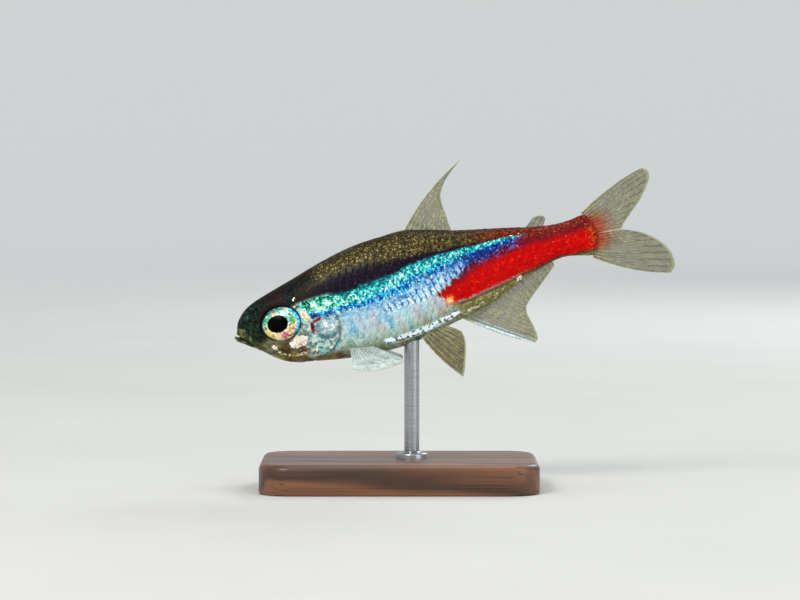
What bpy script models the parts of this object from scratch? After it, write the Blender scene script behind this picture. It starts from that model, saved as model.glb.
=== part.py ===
"""Neon tetra, a life-size display model held over a flat base by one short rod.

The fish is drawn in its own frame and then tipped into its pose. In that frame +X runs from the
snout along the body to the tail, +Z is the back and -Y is the fish's left side, so that it faces -X.
Every table is in millimetres and MM turns it into metres. World Z is up, and the origin is the
middle of the base's underside.
"""

import math

import bmesh
import bpy
import numpy as np
from mathutils import Matrix, Vector

MM = 0.001

# Pose and placing
HEAD_DOWN_DEG = 15.3
ROD_STATION = 13.2
BELLY_HEIGHT = 11.5
GAP = 0.3

# The body's outline, from the snout to the end of the tail stalk, as
# station along the body, height of the back, height of the belly, half width
BODY = np.array([
    (-0.22, -0.34, -0.60, 0.20),
    (-0.10, -0.02, -0.80, 0.40),
    (0.10, 0.28, -0.99, 0.57),
    (0.35, 0.66, -1.16, 0.73),
    (0.60, 0.97, -1.34, 0.86),
    (1.00, 1.34, -1.63, 1.02),
    (1.60, 1.69, -2.08, 1.22),
    (2.35, 1.98, -2.75, 1.42),
    (3.10, 2.20, -3.28, 1.58),
    (4.20, 2.50, -3.72, 1.76),
    (5.60, 2.88, -3.98, 1.93),
    (7.20, 3.34, -4.28, 2.05),
    (9.00, 3.81, -4.56, 2.15),
    (11.00, 4.15, -4.70, 2.20),
    (13.00, 4.25, -4.65, 2.16),
    (15.00, 4.24, -4.36, 2.05),
    (16.50, 3.87, -4.03, 1.92),
    (18.00, 3.42, -3.74, 1.76),
    (20.00, 2.91, -3.28, 1.50),
    (22.00, 2.49, -2.51, 1.26),
    (24.00, 2.02, -1.79, 1.06),
    (25.50, 1.69, -1.36, 0.94),
    (26.70, 1.55, -1.21, 0.86),
    (28.00, 1.58, -1.46, 0.76),
    (29.00, 1.76, -1.78, 0.64),
])
STATION, BACK, BELLY, HALF_WIDTH = range(4)
SNOUT, STALK_END = BODY[0, STATION], BODY[-1, STATION]
WIDEST_AT = 0.52
FULLNESS = 0.9
RINGS, SIDES = 52, 30

# Where the flesh is parted: the gape, the line behind the gill covers, and the tail stalk
GAPE = [(-0.45, -0.14), (0.00, -0.36), (0.50, -0.72), (1.00, -1.12), (1.35, -1.50), (1.75, -2.10),
        (2.02, -2.90)]
SHOULDER = [(7.95, 4.60), (8.50, 2.00), (9.00, -0.20), (9.05, -1.60), (8.65, -2.90), (7.60, -3.90),
            (6.40, -5.00)]
STALK_START = 26.1

# Head parts
EYE_AT = (3.62, -0.30)
EYE_RADIUS = 1.50
EYE_FRONT, EYE_BACK = 0.50, 0.66
SOCKET_OUT = 1.2
EYE_STEPS = 24
GILL_EDGE = [(6.05, -0.55), (6.90, -0.10), (7.75, -0.35), (8.12, -1.15), (8.10, -2.05), (7.65, -2.95),
             (6.80, -3.45), (5.80, -3.62), (4.95, -3.32), (4.88, -2.75), (5.25, -2.10), (5.72, -1.35)]
GILL_PROUD, GILL_DEEP, RECESS_OUT = 0.12, 0.45, 0.8
GILL_SPOKES, GILL_RINGS = 30, 5
RIDGE_AT, RIDGE_WIDTH, RIDGE_HEIGHT = 0.55, 0.16, 0.12
NOSTRIL_AT, NOSTRIL_RADIUS = (1.95, 1.20), 0.20
LIP_RADIUS, LIP_CORNER_SHARE = 0.16, 0.55
LIP_RISE, LIP_END = 0.33, 1.10
LIP_STEPS = 8

# Fins: what every one shares
RAY_RIDGE = 0.12
FIN_THICK, FIN_EDGE_THICK = 0.52, 0.30
STRAIGHT = [(0.0, 0.0, 0.0), (0.0, 0.0, 0.0)]
ROOT_SUNK = 0.7

# Unpaired fins: side-view tips (station, height) from the first ray to the last
DORSAL_ROOT = (14.5, 18.6)
DORSAL_TIPS = [(20.72, 8.37), (19.90, 7.78), (19.20, 7.18), (18.76, 6.62), (18.53, 6.22), (18.46, 5.88),
               (18.43, 5.62), (18.42, 5.38), (18.43, 5.15), (18.45, 4.93), (18.48, 4.70)]
DORSAL_RAYS = 11
DORSAL_BOW = [(-0.30, 0.34), (-0.15, 0.17), (0.0, 0.0), (0.0, 0.0)]
DORSAL_LEAN = 0.8
ADIPOSE_COLUMNS = 3
ADIPOSE_ROOT = (23.7, 25.3)
ADIPOSE_TIPS = [(25.10, 2.48), (25.50, 2.52), (25.90, 2.42), (26.02, 2.14)]
ANAL_ROOT = (17.0, 25.3)
ANAL_TIPS = [(22.68, -7.14), (22.96, -6.80), (22.93, -6.00), (22.75, -5.20), (22.66, -4.60),
             (22.84, -4.05), (23.50, -3.45), (24.30, -2.80), (25.05, -2.20), (25.75, -1.62)]
ANAL_RAYS = 19
ANAL_BOW = [(-0.05, -0.10), (0.05, 0.05), (0.05, 0.05)]
ANAL_LEAN = -0.35

# Tail fin: two lobes that part along a line a little below the middle
TAIL_ROOT = STALK_END + GAP
TAIL_ROOT_THICK = 1.0
UPPER_ROOT = (1.90, 0.15)
UPPER_TIPS = [(34.50, 3.99), (34.80, 3.80), (34.92, 3.45), (34.80, 2.98), (34.30, 2.28),
              (33.68, 1.60), (33.05, 1.08), (32.45, 0.58), (31.95, 0.18), (31.70, -0.13)]
UPPER_BOW = [(0.05, 0.28), (0.0, 0.0), (0.0, 0.0)]
LOWER_ROOT = (-0.15, -1.90)
LOWER_TIPS = [(31.70, -0.45), (32.28, -0.58), (33.00, -0.88), (33.60, -1.28), (34.20, -1.80),
              (34.70, -2.45), (35.00, -3.10), (35.08, -3.70), (34.98, -4.25), (34.55, -4.64)]
LOWER_BOW = [(0.0, 0.0), (0.0, 0.0), (0.0, -0.35)]
LOBE_RAYS = 10
TAIL_SWING = 0.9

# Paired fins, as left-side points: (station, height, distance out from the middle)
PECTORAL_ROOT = [(8.40, -3.80), (9.35, -3.75)]
PECTORAL_TIPS = [(8.30, -5.15, 4.30), (8.75, -5.38, 4.35), (9.40, -5.60, 4.25), (10.10, -5.75, 4.00),
                 (10.80, -5.80, 3.65), (11.50, -5.80, 3.20), (12.15, -5.72, 2.75), (12.20, -5.45, 2.35)]
PECTORAL_RAYS = 11
PELVIC_ROOT = [(13.95, -4.15), (15.35, -3.85)]
PELVIC_TIPS = [(16.46, -8.12, 1.75), (16.72, -7.60, 1.80), (16.98, -6.86, 1.75), (17.22, -6.10, 1.65),
               (17.36, -5.40, 1.50), (17.28, -4.85, 1.35)]
PELVIC_RAYS = 8
PELVIC_BOW = [(-0.22, -0.15), (0.0, 0.0), (0.05, 0.05)]

# Stand
BASE_LENGTH, BASE_WIDTH, BASE_THICK = 22.0, 14.0, 2.4
BASE_CORNER, BASE_EDGE = 2.5, 0.5
ROD_AHEAD = 1.0
ROD_RADIUS = 0.6
ROD_SIDES = 20

# Finishes: colour, roughness, metallic
FINISHES = {
    "head_skin": ((0.30, 0.33, 0.30), 0.35, 0.3),
    "flank_skin": ((0.16, 0.42, 0.62), 0.30, 0.4),
    "tail_skin": ((0.75, 0.04, 0.02), 0.40, 0.1),
    "gill_plate": ((0.70, 0.78, 0.78), 0.22, 0.6),
    "eye": ((0.55, 0.62, 0.55), 0.10, 0.3),
    "fin": ((0.62, 0.64, 0.50), 0.40, 0.0),
    "wood": ((0.10, 0.055, 0.03), 0.45, 0.0),
    "steel": ((0.60, 0.60, 0.62), 0.28, 1.0),
}


def clear_scene():
    for obj in list(bpy.data.objects):
        bpy.data.objects.remove(obj, do_unlink=True)


def collection(name, hidden=False):
    made = bpy.data.collections.new(name)
    bpy.context.scene.collection.children.link(made)
    made.hide_render = hidden
    return made


def finish(name):
    colour, roughness, metallic = FINISHES[name]
    made = bpy.data.materials.new(name)
    made.use_nodes = True
    shader = made.node_tree.nodes["Principled BSDF"]
    shader.inputs["Base Color"].default_value = (*colour, 1.0)
    shader.inputs["Roughness"].default_value = roughness
    shader.inputs["Metallic"].default_value = metallic
    return made


def smooth(knots, values, at):
    """Values at `at` on a cubic Hermite curve through the knots."""
    slopes = np.gradient(values, knots, axis=0)
    i = np.clip(np.searchsorted(knots, at) - 1, 0, len(knots) - 2)
    step = (knots[i + 1] - knots[i]).reshape(-1, *[1] * (np.ndim(values) - 1))
    t = np.clip((at - knots[i]).reshape(step.shape) / step, 0, 1)
    return (
        (2 * t**3 - 3 * t**2 + 1) * values[i]
        + (t**3 - 2 * t**2 + t) * step * slopes[i]
        + (3 * t**2 - 2 * t**3) * values[i + 1]
        + (t**3 - t**2) * step * slopes[i + 1]
    )


def spread(points, count):
    """`count` points on a smooth curve through a list of points, evenly spread by the list's index."""
    points = np.array(points, float)
    return smooth(np.arange(len(points)), points, np.linspace(0, len(points) - 1, count))


def body_size(column, station):
    return smooth(BODY[:, STATION], BODY[:, column], np.atleast_1d(np.asarray(station, float)))


def widest_height(station):
    return body_size(BELLY, station) * (1 - WIDEST_AT) + body_size(BACK, station) * WIDEST_AT


def half_depth(station, above):
    """The height from the widest line up to the back where `above` holds, or else down to the belly."""
    middle = widest_height(station)
    return np.where(above, body_size(BACK, station) - middle, middle - body_size(BELLY, station))


def skin_point(station, turn):
    """The skin at a station and a turn round the body, in radians from the back down the left side."""
    middle = widest_height(station)
    reach = half_depth(station, np.cos(turn) > 0)
    out = body_size(HALF_WIDTH, station) * np.sign(np.sin(turn)) * np.abs(np.sin(turn)) ** FULLNESS
    return np.stack([np.broadcast_to(station, out.shape), -out, middle + reach * np.cos(turn)], -1)


def skin(station, turn, grow=0.0):
    """The skin, moved out along its normal by `grow`."""
    station, turn = np.broadcast_arrays(np.asarray(station, float), np.asarray(turn, float))
    station, turn = station.ravel(), turn.ravel()
    near = 0.02
    ahead, behind = np.maximum(station - near, SNOUT), np.minimum(station + near, STALK_END)
    along = skin_point(behind, turn) - skin_point(ahead, turn)
    around = skin_point(station, turn + near) - skin_point(station, turn - near)
    normal = np.cross(around, along)
    normal /= np.linalg.norm(normal, axis=1, keepdims=True)
    return skin_point(station, turn) + grow * normal, normal


def turn_at(station, height):
    """The turn round the body, on the left side, where the skin is at that height."""
    middle = widest_height(station)
    return np.arccos(np.clip((height - middle) / half_depth(station, height > middle), -1, 1))


def object_of(name, points, faces, home, material=None):
    """An object with its mesh in metres, from points in millimetres."""
    mesh = bpy.data.meshes.new(name)
    mesh.from_pydata((np.asarray(points) * MM).tolist(), [], faces)
    mesh.validate()
    made = bpy.data.objects.new(name, mesh)
    home.objects.link(made)
    if material:
        mesh.materials.append(material)
    return made


def grid_faces(rows, columns, start=0, around=False):
    """Quads of a grid of points in rows, each row closed on itself where `around` is set."""
    across = columns if around else columns - 1
    return [
        (start + r * columns + c, start + r * columns + (c + 1) % columns,
         start + (r + 1) * columns + (c + 1) % columns, start + (r + 1) * columns + c)
        for r in range(rows - 1)
        for c in range(across)
    ]


def body_loft(name, home, grow=0.0):
    """The whole body from snout to tail stalk, in rings that crowd towards the snout, with closed ends."""
    share = np.linspace(0, 1, RINGS)
    stations = SNOUT + (STALK_END - SNOUT) * (0.25 * share + 0.75 * share**2 * (1.9 - 0.9 * share))
    turns = np.linspace(0, 2 * np.pi, SIDES, endpoint=False)
    points, _ = skin(stations[:, None], turns[None, :], grow)
    points[-SIDES:, 0] += max(grow, 0.0)
    nose, tail = points[:SIDES].mean(0), points[-SIDES:].mean(0)
    nose[0] -= 0.06 + grow
    points = np.vstack([points, nose, tail])
    last = (RINGS - 1) * SIDES
    faces = grid_faces(RINGS, SIDES, around=True)
    faces += [(RINGS * SIDES, (i + 1) % SIDES, i) for i in range(SIDES)]
    faces += [(RINGS * SIDES + 1, last + i, last + (i + 1) % SIDES) for i in range(SIDES)]
    return outward(object_of(name, points, faces, home))


def outward(obj):
    """Triangulates the mesh and points its faces out."""
    shape = bmesh.new()
    shape.from_mesh(obj.data)
    bmesh.ops.triangulate(shape, faces=shape.faces)
    bmesh.ops.recalc_face_normals(shape, faces=shape.faces)
    shape.to_mesh(obj.data)
    shape.free()
    return obj


def ribbon(name, line, half_width, reach, home):
    """A cutter: a thin wall that follows a side-view line and reaches across the body."""
    line = spread(line, 3 * len(line))
    along = np.gradient(line, axis=0)
    along /= np.linalg.norm(along, axis=1, keepdims=True)
    side = np.stack([-along[:, 1], along[:, 0]], 1) * half_width
    corners = [(line + side, -reach), (line - side, -reach), (line - side, reach), (line + side, reach)]
    points = np.concatenate([np.insert(flat, 1, y, axis=1) for flat, y in corners])
    points = points.reshape(4, -1, 3).transpose(1, 0, 2).reshape(-1, 3)
    faces = grid_faces(len(line), 4, around=True)
    faces += [(0, 1, 2, 3), tuple(len(points) - 4 + i for i in (3, 2, 1, 0))]
    return outward(object_of(name, points, faces, home))


def boolean(obj, other, operation="DIFFERENCE"):
    """Applies one Boolean and keeps the result in the object's own mesh."""
    modifier = obj.modifiers.new(operation.lower(), "BOOLEAN")
    modifier.operation = operation
    modifier.solver = "EXACT"
    modifier.object = other
    bpy.context.view_layer.update()
    graph = bpy.context.evaluated_depsgraph_get()
    mesh = bpy.data.meshes.new_from_object(obj.evaluated_get(graph))
    obj.modifiers.clear()
    obj.data = mesh
    return obj


def loose_parts(obj):
    """The mesh's separate closed surfaces, the largest first, as point and face lists."""
    shape = bmesh.new()
    shape.from_mesh(obj.data)
    shape.verts.index_update()
    left, parts = set(shape.verts), []
    while left:
        reached = {left.pop()}
        edge = list(reached)
        while edge:
            found = {e.other_vert(v) for v in edge for e in v.link_edges} - reached
            reached |= found
            edge = list(found)
        left -= reached
        order = sorted(reached, key=lambda v: v.index)
        place = {v: i for i, v in enumerate(order)}
        faces = [tuple(place[v] for v in f.verts) for f in shape.faces if f.verts[0] in reached]
        parts.append((np.array([v.co[:] for v in order]), faces))
    shape.free()
    return sorted(parts, key=lambda part: -np.prod(np.ptp(part[0], axis=0)))


def keep_largest(obj):
    points, faces = loose_parts(obj)[0]
    mesh = bpy.data.meshes.new(obj.name)
    mesh.from_pydata(points.tolist(), [], faces)
    for material in obj.data.materials:
        mesh.materials.append(material)
    obj.data = mesh
    return outward(obj)


def drop(*objects):
    for obj in objects:
        bpy.data.objects.remove(obj, do_unlink=True)


def frame_on_skin(station, height, side):
    """A matrix with its origin on the skin and Z along the skin's normal. Side is 1 left, -1 right."""
    point, normal = skin(station, turn_at(station, height))
    point, normal = point[0] * (1, side, 1), normal[0] * (1, side, 1)
    turned = Vector(normal).to_track_quat("Z", "Y").to_matrix().to_4x4()
    return Matrix.Translation(Vector(point * MM)) @ turned


def turned(name, profile, place, home, material=None):
    """A turned solid: (radius, height) points, from top to bottom, spun by a Screw modifier."""
    points = [(radius, 0.0, height) for radius, height in profile]
    made = object_of(name, points, [], home, material)
    shape = bmesh.new()
    shape.from_mesh(made.data)
    shape.verts.ensure_lookup_table()
    for i in range(len(points) - 1):
        shape.edges.new((shape.verts[i], shape.verts[i + 1]))
    shape.to_mesh(made.data)
    shape.free()
    spin = made.modifiers.new("spin", "SCREW")
    spin.steps = spin.render_steps = EYE_STEPS
    spin.use_merge_vertices = True
    spin.merge_threshold = 0.00001
    made.matrix_world = place
    return made


def eye_profile():
    """The eyeball from its clear front, over the rim, to its flattened back."""
    rim = EYE_RADIUS
    front = [(0.0, 1.0), (0.30, 0.94), (0.57, 0.74), (0.80, 0.42), (0.95, 0.06)]
    back = [(1.0, -0.28), (0.95, -0.68), (0.73, -0.94), (0.0, -1.0)]
    return [(r * rim, h * EYE_FRONT) for r, h in front] + [(r * rim, h * EYE_BACK) for r, h in back]


def socket_profile():
    """The hollow round the eyeball, a gap wider than it and open to the outside."""
    rim, deep = EYE_RADIUS + GAP, EYE_BACK + GAP
    bowl = [(1.0, -0.35), (0.93, -0.72), (0.7, -0.95), (0.0, -1.0)]
    return [(0.0, SOCKET_OUT), (rim, SOCKET_OUT)] + [(r * rim, h * deep) for r, h in bowl]


def gill_edge(grow):
    """The gill cover's outline as a closed curve, moved out by `grow`."""
    points = np.array(GILL_EDGE[-2:] + GILL_EDGE + GILL_EDGE[:2])
    at = np.linspace(2, len(GILL_EDGE) + 2, GILL_SPOKES, endpoint=False)
    edge = smooth(np.arange(len(points)), points, at)
    ahead, behind = np.roll(edge, -1, axis=0), np.roll(edge, 1, axis=0)
    out = np.stack([behind[:, 1] - ahead[:, 1], ahead[:, 0] - behind[:, 0]], 1)
    return edge + grow * out / np.linalg.norm(out, axis=1, keepdims=True)


def gill_plate(name, grow, low, high, side, home, material=None, ridge=0.0):
    """A plate inside the gill cover's outline, between two depths, with a ridge on its front half."""
    edge = gill_edge(grow)
    centre = edge.mean(0)
    share = np.linspace(0, 1, GILL_RINGS + 1)[1:, None, None]
    spots = np.vstack([(centre + share * (edge - centre)).reshape(-1, 2), centre])
    share = np.append(np.repeat(share, GILL_SPOKES), 0.0)
    away = np.maximum(np.linalg.norm(spots - centre, axis=1), 0.01)
    ahead = np.clip((centre[0] - spots[:, 0]) / away, 0, 1)
    bump = ridge * np.exp(-(((share - RIDGE_AT) / RIDGE_WIDTH) ** 2)) * ahead
    under, normal = skin(spots[:, 0], turn_at(spots[:, 0], spots[:, 1]))
    points = np.vstack([under + (high + bump)[:, None] * normal, under + low * normal]) * (1, side, 1)
    count = len(under)
    faces = [face for start in (0, count) for face in grid_faces(GILL_RINGS, GILL_SPOKES, start, around=True)]
    rim = (GILL_RINGS - 1) * GILL_SPOKES
    for i in range(GILL_SPOKES):
        after = (i + 1) % GILL_SPOKES
        faces += [(count - 1, i, after), (2 * count - 1, count + i, count + after)]
        faces += [(rim + i, rim + after, count + rim + after, count + rim + i)]
    return outward(object_of(name, points, faces, home, material))


def lip(name, rise, home):
    """A rolled edge along one side of the gape, round the snout from corner to corner and thinner there."""
    gape = spread(GAPE, 200)
    room = np.abs(body_size(BACK if rise > 0 else BELLY, gape[:, 0]) - gape[:, 1]) - abs(rise)
    front = max(gape[(room > 0) & (gape[:, 0] > SNOUT)][0, 0], SNOUT)
    stations = front + (LIP_END - front) * np.linspace(1, 0, LIP_STEPS) ** 2
    points, _ = skin(stations, turn_at(stations, np.interp(stations, gape[:, 0], gape[:, 1]) + rise))
    line = np.vstack([points, points[::-1][1:] * (1, -1, 1)])
    curve = bpy.data.curves.new(name, "CURVE")
    curve.dimensions = "3D"
    curve.bevel_depth = LIP_RADIUS * MM
    curve.bevel_resolution = 1
    curve.use_fill_caps = True
    spline = curve.splines.new("POLY")
    spline.points.add(len(line) - 1)
    for point, place, share in zip(spline.points, line, np.linspace(-1, 1, len(line))):
        point.co = (*(place * MM), 1.0)
        point.radius = 1 - (1 - LIP_CORNER_SHARE) * share**2
    guide = bpy.data.objects.new(name, curve)
    home.objects.link(guide)
    bpy.context.view_layer.update()
    mesh = bpy.data.meshes.new_from_object(guide.evaluated_get(bpy.context.evaluated_depsgraph_get()))
    bpy.data.objects.remove(guide, do_unlink=True)
    made = bpy.data.objects.new(name, mesh)
    home.objects.link(made)
    shape = bmesh.new()
    shape.from_mesh(mesh)
    bmesh.ops.remove_doubles(shape, verts=shape.verts, dist=0.000005)
    shape.to_mesh(mesh)
    shape.free()
    return outward(made)


def fin(name, root, tips, rays, home, material, rows=7, bow=STRAIGHT, root_thick=FIN_THICK, ridge=RAY_RIDGE):
    """A fin as a closed plate: a fan of rays from the root line to the line of tips.

    Each ray is a parabola from its root to its tip, bowed at its middle. Between every two rays lies
    a column where the plate is thinner, so the rays stand up as ridges that fade out at the tips.
    The plate's thickness lies along the mean normal, and both faces share one pattern of triangles.
    """
    columns = 2 * rays - 1
    start, end, bend = (spread(line, columns)[None] for line in (root, tips, bow))
    t = np.linspace(0, 1, rows + 1)[:, None, None]
    middle = start + (end - start) * t + bend * 4 * t * (1 - t)
    normal = np.cross(np.gradient(middle, axis=0), np.gradient(middle, axis=1)).sum((0, 1))
    normal /= np.linalg.norm(normal)
    is_ray = (np.arange(columns) % 2 == 0)[None, :, None]
    thick = root_thick + (FIN_THICK - root_thick) * np.minimum(2 * t, 1)
    thick -= (FIN_THICK - FIN_EDGE_THICK) * t**3
    half = thick / 2 + is_ray * ridge * (1 - t**3)
    points = np.vstack([(middle + normal * half).reshape(-1, 3), (middle - normal * half).reshape(-1, 3)])
    count = (rows + 1) * columns
    faces = []
    for face in grid_faces(rows + 1, columns):
        a, b, c, d = face
        faces += [(a, b, c), (a, c, d), (count + a, count + c, count + b), (count + a, count + d, count + c)]
    rim = [*range(columns)]
    rim += [r * columns + columns - 1 for r in range(1, rows + 1)]
    rim += [rows * columns + c for c in range(columns - 2, -1, -1)]
    rim += [r * columns for r in range(rows - 1, 0, -1)]
    faces += [(a, b, count + b, count + a) for a, b in zip(rim, rim[1:] + rim[:1])]
    return outward(object_of(name, points, faces, home, material))


def leaning(tips, out):
    """Side-view tips in space, the first ray's leaning out by `out` and the last's by half of it."""
    share = np.linspace(1.0, 0.5, len(tips))
    return [(station, out * part, height) for (station, height), part in zip(tips, share)]


def sunk_root(stations, column):
    """A root line that runs inside the back or the belly, below the skin."""
    stations = np.linspace(*stations, 6)
    height = body_size(column, stations)
    return np.stack([stations, 0 * stations, height - np.sign(height) * ROOT_SUNK], 1)


def bowed(points):
    return [(station, 0.0, height) for station, height in points]


def make_flesh(home, cutters, finishes):
    """Head, lower jaw, trunk and tail stalk: the whole body, parted by thin cuts."""
    whole = body_loft("whole", cutters)
    gape = ribbon("gape", GAPE, GAP / 2, 3.0, cutters)
    shoulder = ribbon("shoulder", SHOULDER, GAP / 2, 4.0, cutters)
    stalk = ribbon("stalk", [(STALK_START, 4.0), (STALK_START, 0.0), (STALK_START, -4.0)], GAP / 2, 4.0,
                   cutters)
    for cutter in (gape, shoulder, stalk):
        boolean(whole, cutter)
    parts = sorted(loose_parts(whole)[:4], key=lambda part: part[0][:, 0].mean())
    drop(whole, gape, shoulder, stalk)
    names = ("lower_jaw", "head", "trunk", "tail_stalk")
    looks = ("head_skin", "head_skin", "flank_skin", "tail_skin")
    made = {}
    for name, look, (points, faces) in zip(names, looks, parts):
        made[name] = outward(object_of(name, points / MM, faces, home, finishes[look]))
    return made


def finish_head(head, jaw, home, cutters, finishes):
    """Eyes in their sockets, gill covers in their recesses, nostrils and lips."""
    for side, word in ((1, "left"), (-1, "right")):
        place = frame_on_skin(*EYE_AT, side)
        socket = turned("socket", socket_profile(), place, cutters)
        boolean(head, socket)
        turned("eye_" + word, eye_profile(), place, home, finishes["eye"])
        recess = gill_plate("recess", GAP, -GILL_DEEP - GAP, RECESS_OUT, side, cutters)
        boolean(head, recess)
        gill_plate("gill_cover_" + word, 0.0, -GILL_DEEP, GILL_PROUD, side, home, finishes["gill_plate"],
                   RIDGE_HEIGHT)
        bpy.ops.mesh.primitive_ico_sphere_add(subdivisions=2, radius=NOSTRIL_RADIUS * MM)
        nostril = bpy.context.object
        nostril.matrix_world = frame_on_skin(*NOSTRIL_AT, side) @ Matrix.Diagonal((1.3, 1.0, 1.0, 1.0))
        boolean(head, nostril)
        drop(socket, recess, nostril)
    for owner, rise in ((head, LIP_RISE), (jaw, -LIP_RISE)):
        rolled = lip("lip", rise, cutters)
        boolean(owner, rolled, "UNION")
        drop(rolled)
        keep_largest(owner)


def make_median_fins(home, grown, material):
    """Dorsal, adipose and anal fins, rooted in the body and cut off a gap above its skin."""
    dorsal = fin("dorsal_fin", sunk_root(DORSAL_ROOT, BACK), leaning(DORSAL_TIPS, DORSAL_LEAN),
                 DORSAL_RAYS, home, material, bow=bowed(DORSAL_BOW))
    adipose = fin("adipose_fin", sunk_root(ADIPOSE_ROOT, BACK), leaning(ADIPOSE_TIPS, 0.0),
                  ADIPOSE_COLUMNS, home, material, rows=3, ridge=0.0)
    anal = fin("anal_fin", sunk_root(ANAL_ROOT, BELLY), leaning(ANAL_TIPS, ANAL_LEAN),
               ANAL_RAYS, home, material, rows=6, bow=bowed(ANAL_BOW))
    for plate in (dorsal, adipose, anal):
        keep_largest(boolean(plate, grown))


def make_tail_fin(home, material):
    """The two lobes of the forked tail fin, standing a gap behind the end of the tail stalk."""
    length = max(station for station, _ in LOWER_TIPS) - TAIL_ROOT
    for name, root, tips, bow in (
        ("caudal_fin_upper", UPPER_ROOT, UPPER_TIPS, UPPER_BOW),
        ("caudal_fin_lower", LOWER_ROOT, LOWER_TIPS, LOWER_BOW),
    ):
        line = [(TAIL_ROOT, 0.0, height) for height in root]
        swung = [(s, TAIL_SWING * ((s - TAIL_ROOT) / length) ** 2, height) for s, height in tips]
        fin(name, line, swung, LOBE_RAYS, home, material, 9, bowed(bow), TAIL_ROOT_THICK)


def make_paired_fins(home, grown, material):
    """Pectoral and pelvic fins, the right ones mirrored from the left."""
    for kind, root, tips, rays, bow in (
        ("pectoral_fin_", PECTORAL_ROOT, PECTORAL_TIPS, PECTORAL_RAYS, STRAIGHT),
        ("pelvic_fin_", PELVIC_ROOT, PELVIC_TIPS, PELVIC_RAYS, bowed(PELVIC_BOW)),
    ):
        stations, heights = np.array(root).T
        under, _ = skin(stations, turn_at(stations, heights), -ROOT_SUNK)
        for side, word in ((1, "left"), (-1, "right")):
            line = under * (1, side, 1)
            ends = [(station, -side * out, height) for station, height, out in tips]
            plate = fin(kind + word, line, ends, rays, home, material, bow=bow)
            keep_largest(boolean(plate, grown))


def make_stand(home, grown, finishes):
    """A flat wooden base with rounded corners, and a steel rod cut to the belly's curve."""
    bpy.ops.mesh.primitive_cube_add(size=1)
    base = bpy.context.object
    base.name = "stand_base"
    base.data.transform(Matrix.Diagonal((BASE_LENGTH * MM, BASE_WIDTH * MM, BASE_THICK * MM, 1.0)))
    base.location = (0.0, 0.0, BASE_THICK / 2 * MM)
    shape = bmesh.new()
    shape.from_mesh(base.data)
    upright = [e for e in shape.edges if abs(e.verts[0].co.z - e.verts[1].co.z) > BASE_THICK / 2 * MM]
    bmesh.ops.bevel(shape, geom=upright, offset=BASE_CORNER * MM, segments=5, profile=0.5, affect="EDGES")
    upper = [e for e in shape.edges if min(v.co.z for v in e.verts) > BASE_THICK * 0.4 * MM]
    bmesh.ops.bevel(shape, geom=upper, offset=BASE_EDGE * MM, segments=2, profile=0.5, affect="EDGES")
    shape.to_mesh(base.data)
    shape.free()
    base.data.materials.append(finishes["wood"])

    foot = BASE_THICK + GAP
    top = BELLY_HEIGHT + 1.0
    depth = (top - foot) * MM
    bpy.ops.mesh.primitive_cylinder_add(vertices=ROD_SIDES, radius=ROD_RADIUS * MM, depth=depth)
    rod = bpy.context.object
    rod.name = "stand_rod"
    rod.location = (ROD_AHEAD * MM, 0.0, (top + foot) / 2 * MM)
    rod.data.materials.append(finishes["steel"])
    bpy.context.view_layer.update()
    boolean(rod, grown)
    keep_largest(rod)
    for obj in (base, rod):
        for old in list(obj.users_collection):
            old.objects.unlink(obj)
        home.objects.link(obj)


def pose_matrix():
    """Tips the head down and sets the belly, at the rod's station, at its height over the floor."""
    tip = Matrix.Rotation(math.radians(-HEAD_DOWN_DEG), 4, "Y")
    belly = tip @ Vector((ROD_STATION, 0.0, float(body_size(BELLY, ROD_STATION)[0])))
    return Matrix.Translation((Vector((ROD_AHEAD, 0.0, BELLY_HEIGHT)) - belly) * MM) @ tip


def main():
    clear_scene()
    home = collection("neon_tetra")
    cutters = collection("cutters", hidden=True)
    finishes = {name: finish(name) for name in FINISHES}
    flesh = make_flesh(home, cutters, finishes)
    finish_head(flesh["head"], flesh["lower_jaw"], home, cutters, finishes)
    grown = body_loft("grown", cutters, GAP)
    make_median_fins(home, grown, finishes["fin"])
    make_tail_fin(home, finishes["fin"])
    make_paired_fins(home, grown, finishes["fin"])

    pose = bpy.data.objects.new("fish_pose", None)
    bpy.context.scene.collection.objects.link(pose)
    pose.matrix_world = pose_matrix()
    for obj in [*home.objects, grown]:
        obj.parent = pose
    bpy.context.view_layer.update()
    make_stand(home, grown, finishes)
    drop(grown)
    for obj in home.objects:
        obj.data.shade_smooth()
        if obj.name.startswith("stand_"):
            obj.data.set_sharp_from_angle(angle=math.radians(40))


main()
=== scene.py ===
"""The looks of the neon tetra: its skin, scales, eyes, fins and display stand, with a plain studio.

Shapes are worked out in the fish's own frame, in millimetres: +X runs from the snout along the body
(its value is the station), +Z is the back and -Y is the fish's left. set_in_pose() carries a point
from there to the world, in metres. Markings are painted by values stored on each point.
"""
import math

import bpy
import numpy as np
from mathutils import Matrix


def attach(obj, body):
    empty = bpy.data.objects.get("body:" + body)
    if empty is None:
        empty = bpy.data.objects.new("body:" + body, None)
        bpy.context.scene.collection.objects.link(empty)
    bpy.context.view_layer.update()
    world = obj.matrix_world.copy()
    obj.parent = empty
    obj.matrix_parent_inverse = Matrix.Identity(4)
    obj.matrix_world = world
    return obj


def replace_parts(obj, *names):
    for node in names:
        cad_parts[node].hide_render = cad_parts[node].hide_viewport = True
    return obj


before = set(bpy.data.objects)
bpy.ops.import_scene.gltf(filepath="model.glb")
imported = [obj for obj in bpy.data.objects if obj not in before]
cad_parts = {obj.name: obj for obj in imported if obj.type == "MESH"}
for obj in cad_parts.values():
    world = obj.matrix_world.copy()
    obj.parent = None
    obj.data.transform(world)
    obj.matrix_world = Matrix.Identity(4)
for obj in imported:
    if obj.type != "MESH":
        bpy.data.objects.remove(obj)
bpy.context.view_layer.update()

MM = 0.001

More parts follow.
